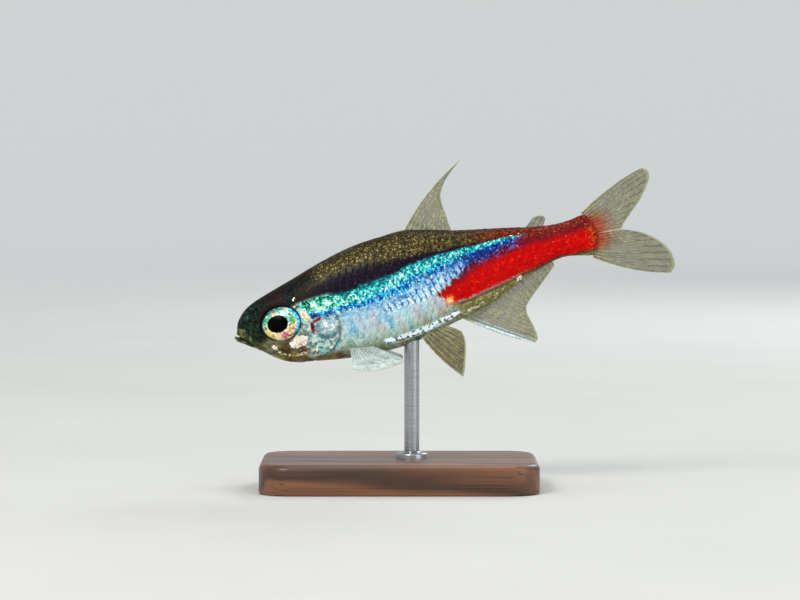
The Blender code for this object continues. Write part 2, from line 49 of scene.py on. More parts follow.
# Pose and placing, as in the solids
HEAD_DOWN = math.radians(15.3)
ROD_STATION, BELLY_HEIGHT, ROD_AHEAD = 13.2, 11.5, 1.0

# The body's outline: station, height of the back, height of the belly, half width
BODY = np.array([
    (-0.22, -0.42, -0.60, 0.13),
    (-0.12, -0.37, -0.80, 0.31),
    (0.03, -0.22, -0.93, 0.47),
    (0.12, 0.14, -1.00, 0.57),
    (0.22, 0.42, -1.07, 0.66),
    (0.35, 0.66, -1.16, 0.73),
    (0.60, 0.97, -1.34, 0.86),
    (1.00, 1.34, -1.63, 1.02),
    (1.60, 1.69, -2.08, 1.22),
    (2.35, 1.98, -2.75, 1.42),
    (3.10, 2.20, -3.28, 1.58),
    (4.20, 2.50, -3.72, 1.76),
    (5.60, 2.88, -3.98, 1.93),
    (7.20, 3.34, -4.28, 2.05),
    (9.00, 3.81, -4.56, 2.15),
    (11.00, 4.15, -4.70, 2.20),
    (13.00, 4.25, -4.65, 2.16),
    (15.00, 4.24, -4.36, 2.05),
    (16.50, 3.87, -4.03, 1.92),
    (18.00, 3.42, -3.74, 1.76),
    (20.00, 2.91, -3.28, 1.50),
    (22.00, 2.49, -2.51, 1.26),
    (24.00, 2.02, -1.79, 1.06),
    (25.50, 1.69, -1.36, 0.94),
    (26.70, 1.55, -1.21, 0.86),
    (28.00, 1.58, -1.46, 0.76),
    (29.00, 1.76, -1.78, 0.64),
])
STATION, BACK, BELLY, HALF_WIDTH = range(4)
SNOUT, STALK_END = BODY[0, STATION], BODY[-1, STATION]
WIDEST_AT, FULLNESS = 0.52, 0.9
WEDGE, WEDGE_ROUND = 0.75, 0.55     # how far the skin runs over the tail fin's root, and less at its edges
WEDGE_THINS, WEDGE_DROPS = 0.995, 0.12      # shares of its width and of its height that it loses on the way
COAT_DEPTH = 0.05       # the skin lies this far under the scales
UNWRAP_FROM, UNWRAP_LONG = -1.0, 32.0   # the station where the unwrap begins, and how much it spans

# Skin grid: rows on the head, rows on the body, points around
HEAD_ROWS, BODY_ROWS, AROUND = 230, 150, 176
HEAD_END = 9.0

# Lines on the head, as (station, height)
MOUTH = [(-0.36, -0.16), (-0.08, -0.32), (0.16, -0.56), (0.57, -0.94), (0.90, -1.25), (1.10, -1.50)]
MAXILLA = [(0.05, 0.26), (0.58, 0.01), (0.89, -0.37), (1.15, -0.93), (1.39, -1.53), (1.59, -2.00)]
PREOPERCLE = [(5.45, -0.30), (5.02, -1.20), (4.80, -2.10), (4.85, -2.90), (5.40, -3.45), (6.20, -3.62)]
GILL_SLIT = [
    (6.35, 0.25), (7.10, 0.10), (7.68, -0.21), (8.03, -0.71), (8.15, -1.49), (7.98, -2.26),
    (7.60, -2.90), (6.97, -3.39), (6.16, -3.70), (5.24, -3.84), (4.30, -3.70),
]
SUBOPERCLE = [(5.15, -2.55), (6.00, -2.75), (6.90, -2.72), (7.72, -2.55)]
CHEEK_BONE = [(2.05, -1.55), (2.80, -2.15), (3.80, -2.35), (4.70, -2.00), (5.30, -1.20)]
NOSTRILS = [(1.78, 1.10, 0.10), (2.05, 1.27, 0.13)]     # station, height, radius
GILL_DOME = (7.12, -1.60, 0.80, 0.76)       # station, height, half length, half height

# How wide and how strong the painted shade along each line's crease is
CREASE_SHADES = [
    (MOUTH, 0.085, 1.0), (MAXILLA, 0.055, 0.55), (PREOPERCLE, 0.045, 0.45),
    (GILL_SLIT, 0.055, 0.65), (SUBOPERCLE, 0.04, 0.45), (CHEEK_BONE, 0.04, 0.25),
]

# Eye
EYE_AT = (3.65, -0.31)
EYE_WIDE, EYE_TALL, EYE_FRONT, EYE_BACK = 1.62, 1.37, 0.42, 0.66
EYE_ROWS, EYE_COLUMNS = 72, 96
PUPIL_AT, PUPIL_SIZE = (-0.17, 0.05), (0.85, 0.68)
LENS_RISE, EYE_SAG = 0.05, 0.1

# Flecks of the iris: place towards the rear and up from its middle, reach, colour, strength
IRIS_FLECKS = [
    (-1.16, 0.60, 0.42, "1CA05C", 0.85),
    (0.98, 0.06, 0.44, "5CAC58", 0.85),
    (0.72, -0.56, 0.32, "E0982C", 0.70),
    (-0.20, 0.86, 0.26, "E89860", 0.70),
    (0.55, 0.80, 0.30, "A4D8B8", 0.80),
    (-1.10, -0.55, 0.38, "F4DC50", 0.85),
    (-0.45, -0.95, 0.34, "FFF4C4", 0.85),
    (0.16, -0.96, 0.34, "DC5084", 0.85),
]

# Bounds of the markings: (station, height) along the body
RED_TOP = [
    (15.6, -1.30), (16.5, -1.10), (17.4, -0.65), (18.3, -0.32), (19.3, 0.20), (20.2, 0.52),
    (22.0, 0.80), (23.7, 1.00), (25.3, 0.95), (26.9, 0.88), (28.2, 0.98), (29.8, 1.00),
]
RED_BOTTOM = [
    (16.2, -1.50), (16.8, -2.04), (17.4, -2.36), (18.6, -2.30), (19.5, -2.12), (21.2, -1.88),
    (23.0, -1.55), (24.7, -1.28), (26.4, -1.02), (27.5, -1.10), (29.8, -1.15),
]
BLUE_BOTTOM = [
    (4.0, -0.30), (5.5, -0.40), (6.7, -0.55), (8.4, -0.62), (10.0, -0.72), (11.7, -0.70), (13.4, -0.45),
    (15.1, -0.10), (16.9, 0.22), (18.6, 0.52), (20.3, 0.76), (22.0, 0.98), (23.3, 1.20), (25.0, 1.35),
]
TURQUOISE_BOTTOM = [
    (4.0, 0.05), (6.9, 0.00), (8.5, -0.20), (10.1, -0.20), (11.9, 0.18), (13.6, 0.45), (15.4, 0.80),
    (17.1, 1.02), (18.8, 1.21), (20.4, 1.33), (22.1, 1.40), (23.5, 1.40), (25.0, 1.45),
]
STRIPE_TOP = [
    (4.0, 0.62), (5.5, 0.85), (7.2, 1.02), (8.8, 0.84), (10.4, 0.86), (12.1, 0.98), (13.9, 1.32),
    (15.6, 1.64), (17.3, 1.76), (18.9, 1.75), (20.5, 1.66), (22.2, 1.68), (23.7, 1.54), (25.0, 1.55),
]
DARK_TOP = [
    (4.0, 1.50), (6.5, 1.65), (8.4, 2.45), (10.1, 2.55), (11.7, 2.45), (13.3, 2.32),
    (14.9, 2.20), (16.6, 2.05), (18.0, 1.86), (20.0, 1.74), (23.7, 1.60), (29.8, 1.58),
]
CROWN_LOW = [
    (-0.5, 0.30), (0.2, 0.15), (0.6, -0.10), (0.9, -0.50), (1.15, -1.00), (1.5, -1.30),
    (2.1, -1.35), (2.5, -1.00), (3.6, 0.50), (5.0, 0.80), (6.0, 0.90), (8.6, 1.00),
]
GLINT_LINE = [
    (11.37, -3.85), (12.43, -3.89), (13.26, -3.87), (14.11, -3.77), (14.96, -3.68), (15.83, -3.50),
    (16.70, -3.33), (17.32, -3.17),
]
GLINT_HALF = 0.23
HEAD_REAR = [(-5, 7.4), (-4, 7.8), (-3, 8.2), (-1.5, 8.45), (0, 8.3), (2, 7.8), (5, 7.2)]   # height, station
NEON_START, NEON_END, RED_START = 4.9, 23.9, 16.1
RED_GLARE = (17.05, 0.0, -2.02)     # its middle, in the fish's middle plane

# Painted patches: station, height, half length, half height, turn in degrees, strength
PATCHES = {
    "gold": [
        (3.08, -2.62, 0.45, 0.21, -28, 0.92), (3.95, -2.98, 0.62, 0.22, -4, 0.92),
        (4.80, -3.02, 0.50, 0.20, 8, 0.92), (5.10, -3.40, 0.20, 0.09, 0, 0.85),
        (5.80, -0.45, 0.20, 0.30, 0, 1.0), (5.22, 1.36, 0.10, 0.09, 0, 0.9),
        (4.62, -1.66, 0.24, 0.13, 0, 0.8), (5.03, 0.68, 0.09, 0.11, 0, 0.9),
        (22.95, 1.62, 0.10, 0.09, 0, 1.0), (23.55, 1.58, 0.11, 0.08, 0, 1.0),
        (24.05, 1.50, 0.07, 0.06, 0, 0.9),
    ],
    "cream": [
        (4.64, -2.02, 0.76, 0.48, 12, 1.05), (2.69, -2.05, 0.32, 0.15, -55, 1.0),
        (5.62, -0.06, 0.34, 0.42, 0, 1.0), (6.95, -0.10, 0.40, 0.30, 10, 1.0),
        (7.66, 0.33, 0.42, 0.18, 15, 1.0), (6.25, 0.52, 0.30, 0.14, 10, 0.9),
        (5.90, -2.90, 0.10, 0.34, -15, 0.8), (7.10, -3.02, 0.32, 0.10, 40, 0.75),
        (8.60, 0.30, 0.40, 0.12, 12, 0.85), (18.90, -3.10, 1.30, 0.12, 17, 0.50),
        (20.90, -2.52, 0.80, 0.11, 17, 0.45), (22.83, -1.85, 0.24, 0.22, 0, 0.75),
        (23.20, 1.50, 0.08, 0.07, 0, 1.0),
    ],
    "silver": [(7.12, -1.60, 0.84, 0.78, 0, 1.1)],
    "blood": [
        (6.03, -1.25, 0.19, 0.58, -6, 1.0), (6.50, -0.76, 0.50, 0.15, 16, 1.0),
        (7.25, -0.80, 0.35, 0.08, -12, 0.8), (7.98, -1.90, 0.08, 0.60, -12, 0.7),
        (7.50, -2.62, 0.40, 0.08, 38, 0.8), (6.45, -2.15, 0.10, 0.30, 20, 0.6),
    ],
    "aqua": [
        (6.25, -3.02, 0.45, 0.20, -30, 0.9), (6.60, -3.45, 0.45, 0.15, 0, 0.8),
        (7.55, -3.00, 0.35, 0.25, 20, 0.8), (5.08, 1.24, 0.09, 0.08, 0, 0.9),
        (6.45, 0.05, 0.50, 0.24, 10, 0.7), (6.30, -2.35, 0.30, 0.22, -40, 0.6),
    ],
    "azure": [
        (11.75, -1.35, 0.62, 1.15, 13, 1.0), (10.0, -1.15, 1.3, 0.45, 10, 0.6),
        (9.60, -2.70, 0.30, 0.90, 13, 0.6), (13.4, -1.55, 0.9, 0.45, 14, 0.7),
        (8.75, -1.20, 0.35, 1.0, 13, 0.5), (14.9, -2.1, 0.25, 0.7, 13, 0.5),
    ],
    "bars": [
        (15.7, -0.62, 2.1, 0.74, 20, 1.0), (13.0, -1.15, 1.5, 0.50, 14, 0.8),
        (17.7, -0.02, 1.5, 0.42, 22, 1.0),
    ],
    "rust": [
        (4.96, -2.86, 0.55, 0.16, 5, 0.9), (5.75, -3.20, 0.45, 0.18, 0, 0.6),
        (3.10, -1.84, 0.55, 0.12, -30, 0.6), (7.60, -4.12, 0.60, 0.09, 8, 0.8),
        (9.60, -4.48, 1.00, 0.09, 2, 0.5), (3.75, -2.30, 0.5, 0.20, 0, 0.5),
    ],
    "navy": [
        (6.45, -0.40, 0.45, 0.24, 10, 0.62), (7.30, -0.58, 0.55, 0.20, -8, 0.60),
        (6.15, 0.50, 0.20, 0.30, 20, 0.6), (5.20, 0.62, 0.35, 0.12, 10, 0.6), (9.1, 0.25, 0.5, 0.12, 0, 0.5),
    ],
}

# Scales
SCALE_PITCH, ROW_PITCH = 0.58, 0.66
SCALE_LONG, SCALE_WIDE = 1.85, 1.22      # in pitches
SCALE_LIFT, SCALE_THICK, SCALE_CALM = 0.023, 0.011, 0.8
SCALE_ROOT_DEPTH, SCALE_CROWN, SCALE_JITTER = 0.045, 0.012, 0.018
SCALE_ROWS, SCALE_COLUMNS = 5, 6
ROWS_UP = 9             # rows of scales above the widest line, and as many below
FIRST_SCALE, LAST_SCALE = 8.1, 29.35
SCALES_BEGIN = [(0, 8.45), (2, 8.3), (4, 7.8), (6, 7.3)]     # way from the widest line, station
PATCH_ON_UNWRAP = 0.003     # how large each scale's patch is on the unwrap

# Fins: tips of the rays from first to last, as in the solids
ROOT_SUNK = 0.7
DORSAL_ROOT = (14.5, 18.6)
DORSAL_TIPS = [
    (20.72, 8.37), (19.90, 7.78), (19.20, 7.18), (18.76, 6.62), (18.53, 6.22), (18.46, 5.88),
    (18.43, 5.62), (18.42, 5.38), (18.43, 5.15), (18.45, 4.93), (18.48, 4.70),
]
DORSAL_BOW = [(-0.30, 0.34), (-0.15, 0.17), (0.0, 0.0), (0.0, 0.0)]
DORSAL_RAYS, DORSAL_LEAN = 11, 0.8
ADIPOSE_ROOT = (23.7, 25.3)
ADIPOSE_TIPS = [(25.10, 2.48), (25.50, 2.52), (25.90, 2.42), (26.02, 2.14)]
ADIPOSE_FOLDS, ADIPOSE_THICK = 4, 0.16      # it has no rays, only soft folds
ANAL_ROOT = (17.0, 25.3)
ANAL_TIPS = [
    (22.68, -7.14), (22.96, -6.80), (22.93, -6.00), (22.75, -5.20), (22.66, -4.60),
    (22.84, -4.05), (23.50, -3.45), (24.30, -2.80), (25.05, -2.20), (25.75, -1.62),
]
ANAL_BOW = [(-0.05, -0.10), (0.05, 0.05), (0.05, 0.05)]
ANAL_RAYS, ANAL_LEAN = 19, -0.35
ANAL_LEAD_SWELLS = 0.11     # how much thicker its first ray is at mid length
TAIL_ROOT, TAIL_RAYS, TAIL_SWING = 28.9, 10, 0.9
TAIL_FROM, TAIL_TO = 29.3, 35.08
UPPER_ROOT, LOWER_ROOT = (1.82, 0.02), (0.0, -1.84)
UPPER_TIPS = [
    (34.50, 3.99), (34.80, 3.80), (34.92, 3.45), (34.80, 2.98), (34.30, 2.28),
    (33.68, 1.60), (33.05, 1.08), (32.45, 0.58), (31.95, 0.18), (31.70, -0.18),
]
LOWER_TIPS = [
    (31.70, -0.28), (32.28, -0.52), (33.00, -0.86), (33.60, -1.28), (34.20, -1.80),
    (34.70, -2.45), (35.00, -3.10), (35.08, -3.70), (34.98, -4.25), (34.55, -4.64),
]
UPPER_BOW = [(0.05, 0.28), (0.0, 0.0), (0.0, 0.0)]
LOWER_BOW = [(0.0, 0.0), (0.0, 0.0), (0.0, -0.35)]
PECTORAL_ROOT = [(8.40, -3.80), (9.35, -3.75)]
PECTORAL_TIPS = [
    (8.30, -5.15, 4.30), (8.75, -5.38, 4.35), (9.40, -5.60, 4.25), (10.10, -5.75, 4.00),
    (10.80, -5.80, 3.65), (11.50, -5.80, 3.20), (12.15, -5.72, 2.75), (12.20, -5.45, 2.35),
]
PELVIC_ROOT = [(13.95, -4.15), (15.35, -3.85)]
PELVIC_TIPS = [
    (16.46, -8.12, 1.75), (16.72, -7.60, 1.80), (16.98, -6.86, 1.75),
    (17.22, -6.10, 1.65), (17.36, -5.40, 1.50), (17.28, -4.85, 1.35),
]
PELVIC_BOW = [(-0.22, -0.15), (0.0, 0.0), (0.05, 0.05)]
PECTORAL_RAYS, PELVIC_RAYS = 11, 8
STRAIGHT = [(0.0, 0.0), (0.0, 0.0)]
WEB_THICK, WEB_ROWS, WEB_STEPS = 0.030, 26, 6
RAY_SIDES, RAY_RINGS = 6, 15

# A ray: a whole one, and for a branched one its stem, its two arms and their four twigs, each as
# (from, to, radius at the start, radius at the end) in shares of its length and in millimetres
WHOLE_RAY = (0.0, 1.0, 0.055, 0.018)
STEM, ARM, TWIG = (0.0, 0.44, 0.042, 0.030), (0.42, 0.72, 0.027, 0.022), (0.70, 0.96, 0.020, 0.012)
ARM_OUT, TWIG_OUT, TWIG_APART = 0.15, 0.22, 0.09     # in gaps between the rays

# Stand
BASE_SIZE, BASE_CORNER = (22.0, 14.0, 2.4), 2.5
BASE_ROUND, BASE_FOOT_ROUND = 0.5, 0.15
ROD_RADIUS = 0.6
BASE_TOP_INSETS = (0.9, 1.4, 2.0, 2.3)
FERRULE_RADIUS, FERRULE_ROUND, FERRULE_TALL = 1.25, 0.15, 0.28

# Studio: the floor's flat radius and the curve up to its wall, in metres
FLOOR_FLAT, FLOOR_BEND = 0.55, 0.35
AIM = (0.0, 0.0, 0.014)
LAMPS = [       # name, place, size, power, colour
    ("key", (-0.16, -0.26, 0.26), (0.16, 0.12), 1.00, (1.0, 0.97, 0.93)),
    ("fill", (0.26, -0.22, 0.10), (0.20, 0.20), 0.26, (0.92, 0.96, 1.0)),
    ("top", (0.02, 0.02, 0.32), (0.14, 0.14), 0.30, (1.0, 1.0, 1.0)),
    ("rim", (0.16, 0.26, 0.20), (0.12, 0.12), 0.40, (0.96, 0.98, 1.0)),
]
SKY, SKY_STRENGTH = "E0E6EA", 0.70

# Camera: the picture's scale, in pixels for each millimetre at the fish, and where its middle lies
PX_PER_MM, PICTURE_WIDTH = 12.6, 800
PICTURE_MIDDLE = (0.06, 0.0, 14.96)
CAMERA_AWAY, CAMERA_UP = 275.0, math.radians(2.5)
SENSOR = 36.0


# Curves and the body's surface

def smooth(knots, values, at):
    """Values at `at` on a cubic Hermite curve through the knots."""
    slopes = np.gradient(values, knots, axis=0)
    i = np.clip(np.searchsorted(knots, at) - 1, 0, len(knots) - 2)
    step = (knots[i + 1] - knots[i]).reshape(-1, *[1] * (np.ndim(values) - 1))
    t = np.clip((at - knots[i]).reshape(step.shape) / step, 0, 1)
    return (
        (2 * t**3 - 3 * t**2 + 1) * values[i]
        + (t**3 - 2 * t**2 + t) * step * slopes[i]
        + (3 * t**2 - 2 * t**3) * values[i + 1]
        + (t**3 - t**2) * step * slopes[i + 1]
    )


def along_curve(points, share):
    """Points on a smooth curve through a list of points, at shares 0 to 1 of the list's index."""
    points = np.array(points, float)
    share = np.asarray(share, float)
    found = smooth(np.arange(len(points)), points, share.ravel() * (len(points) - 1))
    return found.reshape(*share.shape, points.shape[1])


def ease(value, low, high):
    """0 below `low`, 1 above `high` and a smooth step between them, the other way round if low > high."""
    t = np.clip((value - low) / (high - low), 0, 1)
    return t * t * (3 - 2 * t)


def bell(away, width):
    """A bell curve: 1 in its middle, and 1/e so far from it."""
    return np.exp(-((away / width) ** 2))


def body_size(column, station):
    """One of the body's sizes at each station, smooth between the rows of its table."""
    return smooth(BODY[:, STATION], BODY[:, column], np.ravel(np.asarray(station, float)))


def widest_height(station):
    """The height of the widest line: WIDEST_AT of the way from the belly to the back."""
    return body_size(BELLY, station) * (1 - WIDEST_AT) + body_size(BACK, station) * WIDEST_AT


def skin_point(station, turn):
    """An oval ring at each station: out by half width * sin(turn)^FULLNESS, up or down from the widest
    line by cos(turn) times the way to the back or the belly. Past the stalk it thins to a wedge like a
    quarter circle, whose end is rounded in side view: it comes sooner by WEDGE_ROUND * cos(turn)^2."""
    middle = widest_height(station)
    reach = np.where(np.cos(turn) > 0, body_size(BACK, station) - middle, middle - body_size(BELLY, station))
    past = np.clip((station + WEDGE_ROUND * np.cos(turn) ** 2 - STALK_END) / WEDGE, 0, 1)
    width = body_size(HALF_WIDTH, station) * np.sqrt(1 - WEDGE_THINS * past**2)
    out = width * np.sign(np.sin(turn)) * np.abs(np.sin(turn)) ** FULLNESS
    return np.stack([station, -out, middle + reach * (1 - WEDGE_DROPS * past**2) * np.cos(turn)], -1)


def skin(station, turn, lift=0.0):
    """The skin's point and unit normal, the point moved out along the normal by `lift`."""
    station, turn = np.broadcast_arrays(np.asarray(station, float), np.asarray(turn, float))
    shape, station, turn = station.shape, station.ravel(), turn.ravel()
    near = 0.02
    ahead, behind = np.maximum(station - near, SNOUT), np.minimum(station + near, STALK_END + WEDGE)
    along = skin_point(behind, turn) - skin_point(ahead, turn)
    around = skin_point(station, turn + near) - skin_point(station, turn - near)
    normal = np.cross(around, along)
    normal /= np.maximum(np.linalg.norm(normal, axis=1, keepdims=True), 1e-12)
    points = skin_point(station, turn) + np.broadcast_to(lift, shape).reshape(-1, 1) * normal
    return points.reshape(*shape, 3), normal.reshape(*shape, 3)


def turn_at(station, height):
    """The turn round the body, on the left side, where the skin is at that height."""
    middle = widest_height(station)
    reach = np.where(height > middle, body_size(BACK, station) - middle, middle - body_size(BELLY, station))
    return np.arccos(np.clip((height - middle) / reach, -1, 1))


def set_in_pose(points):
    """Tips the head down, sets the belly on the rod and turns millimetres to metres."""
    c, s = math.cos(HEAD_DOWN), math.sin(HEAD_DOWN)
    belly = body_size(BELLY, ROD_STATION)[0]
    x = points[..., 0] * c - points[..., 2] * s
    z = points[..., 0] * s + points[..., 2] * c
    x += ROD_AHEAD - (ROD_STATION * c - belly * s)
    z += BELLY_HEIGHT - (ROD_STATION * s + belly * c)
    return np.stack([x, points[..., 1], z], -1) * MM


# Meshes from arrays

def quads_of(rows, columns, around=False, copies=1):
    """Quads of a grid of points, each row closed on itself where `around` is set, for so many copies of
    it."""
    r, c = np.meshgrid(np.arange(rows - 1), np.arange(columns if around else columns - 1), indexing="ij")
    here, after = r * columns + c, r * columns + (c + 1) % columns
    quads = np.stack([here, after, after + columns, here + columns], -1)
    start = np.arange(copies)[:, None, None] * rows * columns
    return (quads.reshape(1, -1, 4) + start).reshape(-1, 4)


def tube_faces(rows, columns, copies=1):
    """Faces of closed tubes: grids whose rows close on themselves, each with a face over either end."""
    start = np.arange(copies)[:, None] * rows * columns
    ring = np.arange(columns)[None]
    sides = quads_of(rows, columns, around=True, copies=copies)
    return [sides, start + ring[:, ::-1], start + (rows - 1) * columns + ring]


def end_fans(count, around):
    """Triangles that close the first and the last ring of a grid to the two points stored after it."""
    ring = np.arange(around)
    after = (ring + 1) % around
    last = count - around
    to_first, to_last = np.full(around, count), np.full(around, count + 1)
    return [np.stack([after, ring, to_first], -1), np.stack([last + ring, last + after, to_last], -1)]


def plate_faces(rows, columns, copies=1):
    """Faces of a closed plate: a grid of points, the same grid again for its underside, and quads round
    its rim."""
    count = rows * columns
    top = quads_of(rows, columns)
    rim = np.concatenate([
        np.arange(columns), np.arange(1, rows) * columns + columns - 1,
        (rows - 1) * columns + np.arange(columns - 2, -1, -1), np.arange(rows - 2, 0, -1) * columns])
    after = np.roll(rim, -1)
    wall = np.stack([after, rim, rim + count, after + count], -1)
    one = np.concatenate([top, top[:, ::-1] + count, wall])
    return (one[None] + np.arange(copies)[:, None, None] * 2 * count).reshape(-1, 4)


def facing_out(points, faces):
    """The faces, turned round if the volume that they close is negative."""
    volume = 0.0
    for face in faces:
        for i in range(1, face.shape[1] - 1):
            a, b, c = points[face[:, 0]], points[face[:, i]], points[face[:, i + 1]]
            volume += np.einsum("ij,ij->", a, np.cross(b, c))
    return [face[:, ::-1] for face in faces] if volume < 0 else faces


def piece(name, points, faces, finish, slot, unwrap=None, **values):
    """An object from points in metres and arrays of faces, with a value or a vector stored on each point."""
    points = points.reshape(-1, 3)
    faces = facing_out(points, faces if isinstance(faces, list) else [faces])
    corners = np.concatenate([face.ravel() for face in faces]).astype(np.int32)
    sizes = np.concatenate([np.full(len(face), face.shape[1]) for face in faces])
    mesh = bpy.data.meshes.new(name)
    mesh.vertices.add(len(points))
    mesh.vertices.foreach_set("co", points.ravel().astype(np.float32))
    mesh.loops.add(len(corners))
    mesh.loops.foreach_set("vertex_index", corners)
    mesh.polygons.add(len(sizes))
    mesh.polygons.foreach_set("loop_start", np.concatenate([[0], np.cumsum(sizes)[:-1]]).astype(np.int32))
    for key, value in values.items():
        value = np.asarray(value, np.float32)
        is_vector = value.shape[-1] == 3 and value.ndim > 1
        kind, field = ("FLOAT_VECTOR", "vector") if is_vector else ("FLOAT", "value")
        mesh.attributes.new(key, kind, "POINT").data.foreach_set(field, value.ravel())
    if unwrap is not None:
        mesh.uv_layers.new(name="OFBake").data.foreach_set("uv", unwrap.reshape(-1, 2)[corners].ravel())
    mesh.update(calc_edges=True)
    mesh.shade_smooth()
    mesh.materials.append(finish)
    made = bpy.data.objects.new(name, mesh)
    bpy.context.scene.collection.objects.link(made)
    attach(made, "root")
    return made


# Materials

def paint(code):
    """A linear colour from its six-digit code."""
    parts = np.array([int(code[i:i + 2], 16) / 255 for i in (0, 2, 4)])
    linear = np.where(parts <= 0.04045, parts / 12.92, ((parts + 0.055) / 1.055) ** 2.4)
    return (*linear, 1.0)


class Nodes:
    """Writes nodes into one tree. Most of its methods give back an output socket."""

    def __init__(self, tree):
        self.tree = tree

    def feed(self, socket, value):
        """Links a socket, or sets it to a number, a vector or a colour's six-digit code."""
        if isinstance(value, bpy.types.NodeSocket):
            self.tree.links.new(value, socket)
        else:
            socket.default_value = paint(value) if isinstance(value, str) else value

    def set_inputs(self, node, **values):
        """Feeds a node's inputs by their names, written with _ for each blank."""
        for key, value in values.items():
            self.feed(node.inputs[key.replace("_", " ")], value)

    def add(self, kind, inputs=(), **settings):
        made = self.tree.nodes.new("ShaderNode" + kind)
        for key, value in settings.items():
            setattr(made, key, value)
        pairs = inputs.items() if isinstance(inputs, dict) else enumerate(inputs)
        for key, value in pairs:
            self.feed(made.inputs[key], value)
        return made

    def math(self, operation, *values):
        return self.add("Math", values, operation=operation).outputs[0]

    def chain(self, operation, first, *others):
        """An operation on the first two values, then on what comes out and the third, and so on."""
        for other in others:
            first = self.math(operation, first, other)
        return first

    def plus(self, *values):
        return self.chain("ADD", *values)

    def times(self, *values):
        return self.chain("MULTIPLY", *values)

    def most(self, *values):
        return self.chain("MAXIMUM", *values)

    def least(self, first, second):
        return self.math("MINIMUM", first, second)

    def opposite(self, value):
        """1 less the value."""
        return self.math("SUBTRACT", 1.0, value)

    def shared(self, first, second, share):
        """A share of the first value, and the rest of the second."""
        return self.plus(self.times(first, share), self.times(second, 1 - share))

    def sway(self, noise, amount):
        """A noise's swing about its middle, times an amount."""
        return self.times(self.plus(noise, -0.5), amount)

    def ragged(self, value, noise, amount):
        return self.plus(value, self.sway(noise, amount))

    def step(self, value, low, high, to_low=0.0, to_high=1.0):
        """A smooth step of `value` from low to high."""
        if low > high:
            low, high, to_low, to_high = high, low, to_high, to_low
        node = self.add("MapRange", (value, low, high, to_low, to_high), interpolation_type="SMOOTHSTEP")
        return node.outputs[0]

    def mix(self, share, first, second, blend="MIX"):
        node = self.add("Mix", {0: share, 6: first, 7: second}, data_type="RGBA", blend_type=blend)
        return node.outputs[2]

    def value(self, name):
        return self.add("Attribute", attribute_name=name).outputs["Fac"]

    def vector(self, name):
        return self.add("Attribute", attribute_name=name).outputs["Vector"]

    def parts(self, vector):
        return self.add("SeparateXYZ", (vector,)).outputs[:]

    def join(self, x, y, z):
        return self.add("CombineXYZ", (x, y, z)).outputs[0]

    def apart(self, first, second):
        """The distance between two places."""
        return self.add("VectorMath", (first, second), operation="DISTANCE").outputs["Value"]

    def placed(self, scale, shift=(0.0, 0.0, 0.0)):
        """The place on the object, in metres, stretched and then shifted."""
        place = self.add("TexCoord").outputs["Object"]
        return self.add("Mapping", {"Vector": place, "Location": shift, "Scale": scale}).outputs[0]

    def noise(self, at, scale, detail=2.0):
        return self.add("TexNoise", {"Vector": at, "Scale": scale, "Detail": detail}).outputs[0]

    def cells(self, at, scale):
        """Random cells: the distance to each one's middle, and three random values of each."""
        node = self.add("TexVoronoi", {"Vector": at, "Scale": scale})
        return node.outputs["Distance"], self.parts(node.outputs["Color"])

    def ramp(self, value, *stops):
        node = self.add("ValToRGB", (value,))
        line = node.color_ramp.elements
        line[0].position, line[0].color = stops[0][0], paint(stops[0][1])
        line[1].position, line[1].color = stops[-1][0], paint(stops[-1][1])
        for position, code in stops[1:-1]:
            line.new(position).color = paint(code)
        return node.outputs[0]


class Marks(Nodes):
    """A writer of nodes that also holds what the markings share: the values on the points, noises and
    specks, and the masks that one marking leaves for the next. Functions take one as `m`, and a plain
    writer as `n`."""

    def __init__(self, tree, chance, glitter):
        super().__init__(tree)
        self.at = self.vector("fish")
        self.along, _, self.up = self.parts(self.at)
        self.band, self.neon, self.red = self.parts(self.vector("bands"))
        self.head, self.strip, self.glint = self.parts(self.vector("regions"))
        self.crown, self.lips, self.crease_shade = self.parts(self.vector("folds"))
        self.gold, self.cream, self.silver = self.parts(self.vector("coats"))
        self.blood, self.aqua, self.bars = self.parts(self.vector("tints"))
        self.rust, self.navy, self.azure = self.parts(self.vector("shades"))
        self.broad = self.noise(self.at, 1.1, 3.0)
        self.soft = self.noise(self.at, 3.0)
        self.fine = self.noise(self.at, 6.0, 3.0)
        self.grain = self.noise(self.at, 10.0, 1.0)
        self.lean = self.plus(self.along, self.times(self.up, 0.24))
        self.streak = self.noise(self.join(self.lean, 0.0, self.times(self.up, 0.26)), 1.05)
        self.small, self.small_hue, small_tone = self.specks(glitter, 0.15, 0.60)
        self.large, _, large_tone = self.specks(glitter, 0.30, 0.45)
        tones = self.plus(self.times(small_tone, 0.52), self.times(large_tone, 0.22))
        self.foil = self.ragged(tones, self.fine, 1.3)
        self.off_scale = self.plus(chance, -0.5)
        wander = self.plus(self.sway(self.fine, 0.55), self.times(self.off_scale, 0.16))
        self.level = self.plus(self.band, wander)
        self.torn = self.plus(self.sway(self.soft, 0.9), self.sway(self.fine, 1.2))
        self.mottle = self.shared(self.soft, self.fine, 0.5)

    def specks(self, glitter, size, share):
        """Specks of a size over a share of the cells, and two random values of each cell."""
        return self.add("Group", {"Size": size, "Share": share}, node_tree=glitter).outputs


def group_of(name, inputs, outputs):
    """A shader group: its tree, its writer of nodes, its inputs by name, and the node that its outputs
    go to."""
    tree = bpy.data.node_groups.new(name, "ShaderNodeTree")
    for key, default in inputs.items():
        socket = tree.interface.new_socket(name=key, in_out="INPUT", socket_type="NodeSocketFloat")
        socket.default_value = default
    for key in outputs:
        kind = "NodeSocketColor" if key in ("Color", "Glow") else "NodeSocketFloat"
        tree.interface.new_socket(name=key, in_out="OUTPUT", socket_type=kind)
    entry = tree.nodes.new("NodeGroupInput")
    return tree, Nodes(tree), entry.outputs, tree.nodes.new("NodeGroupOutput")


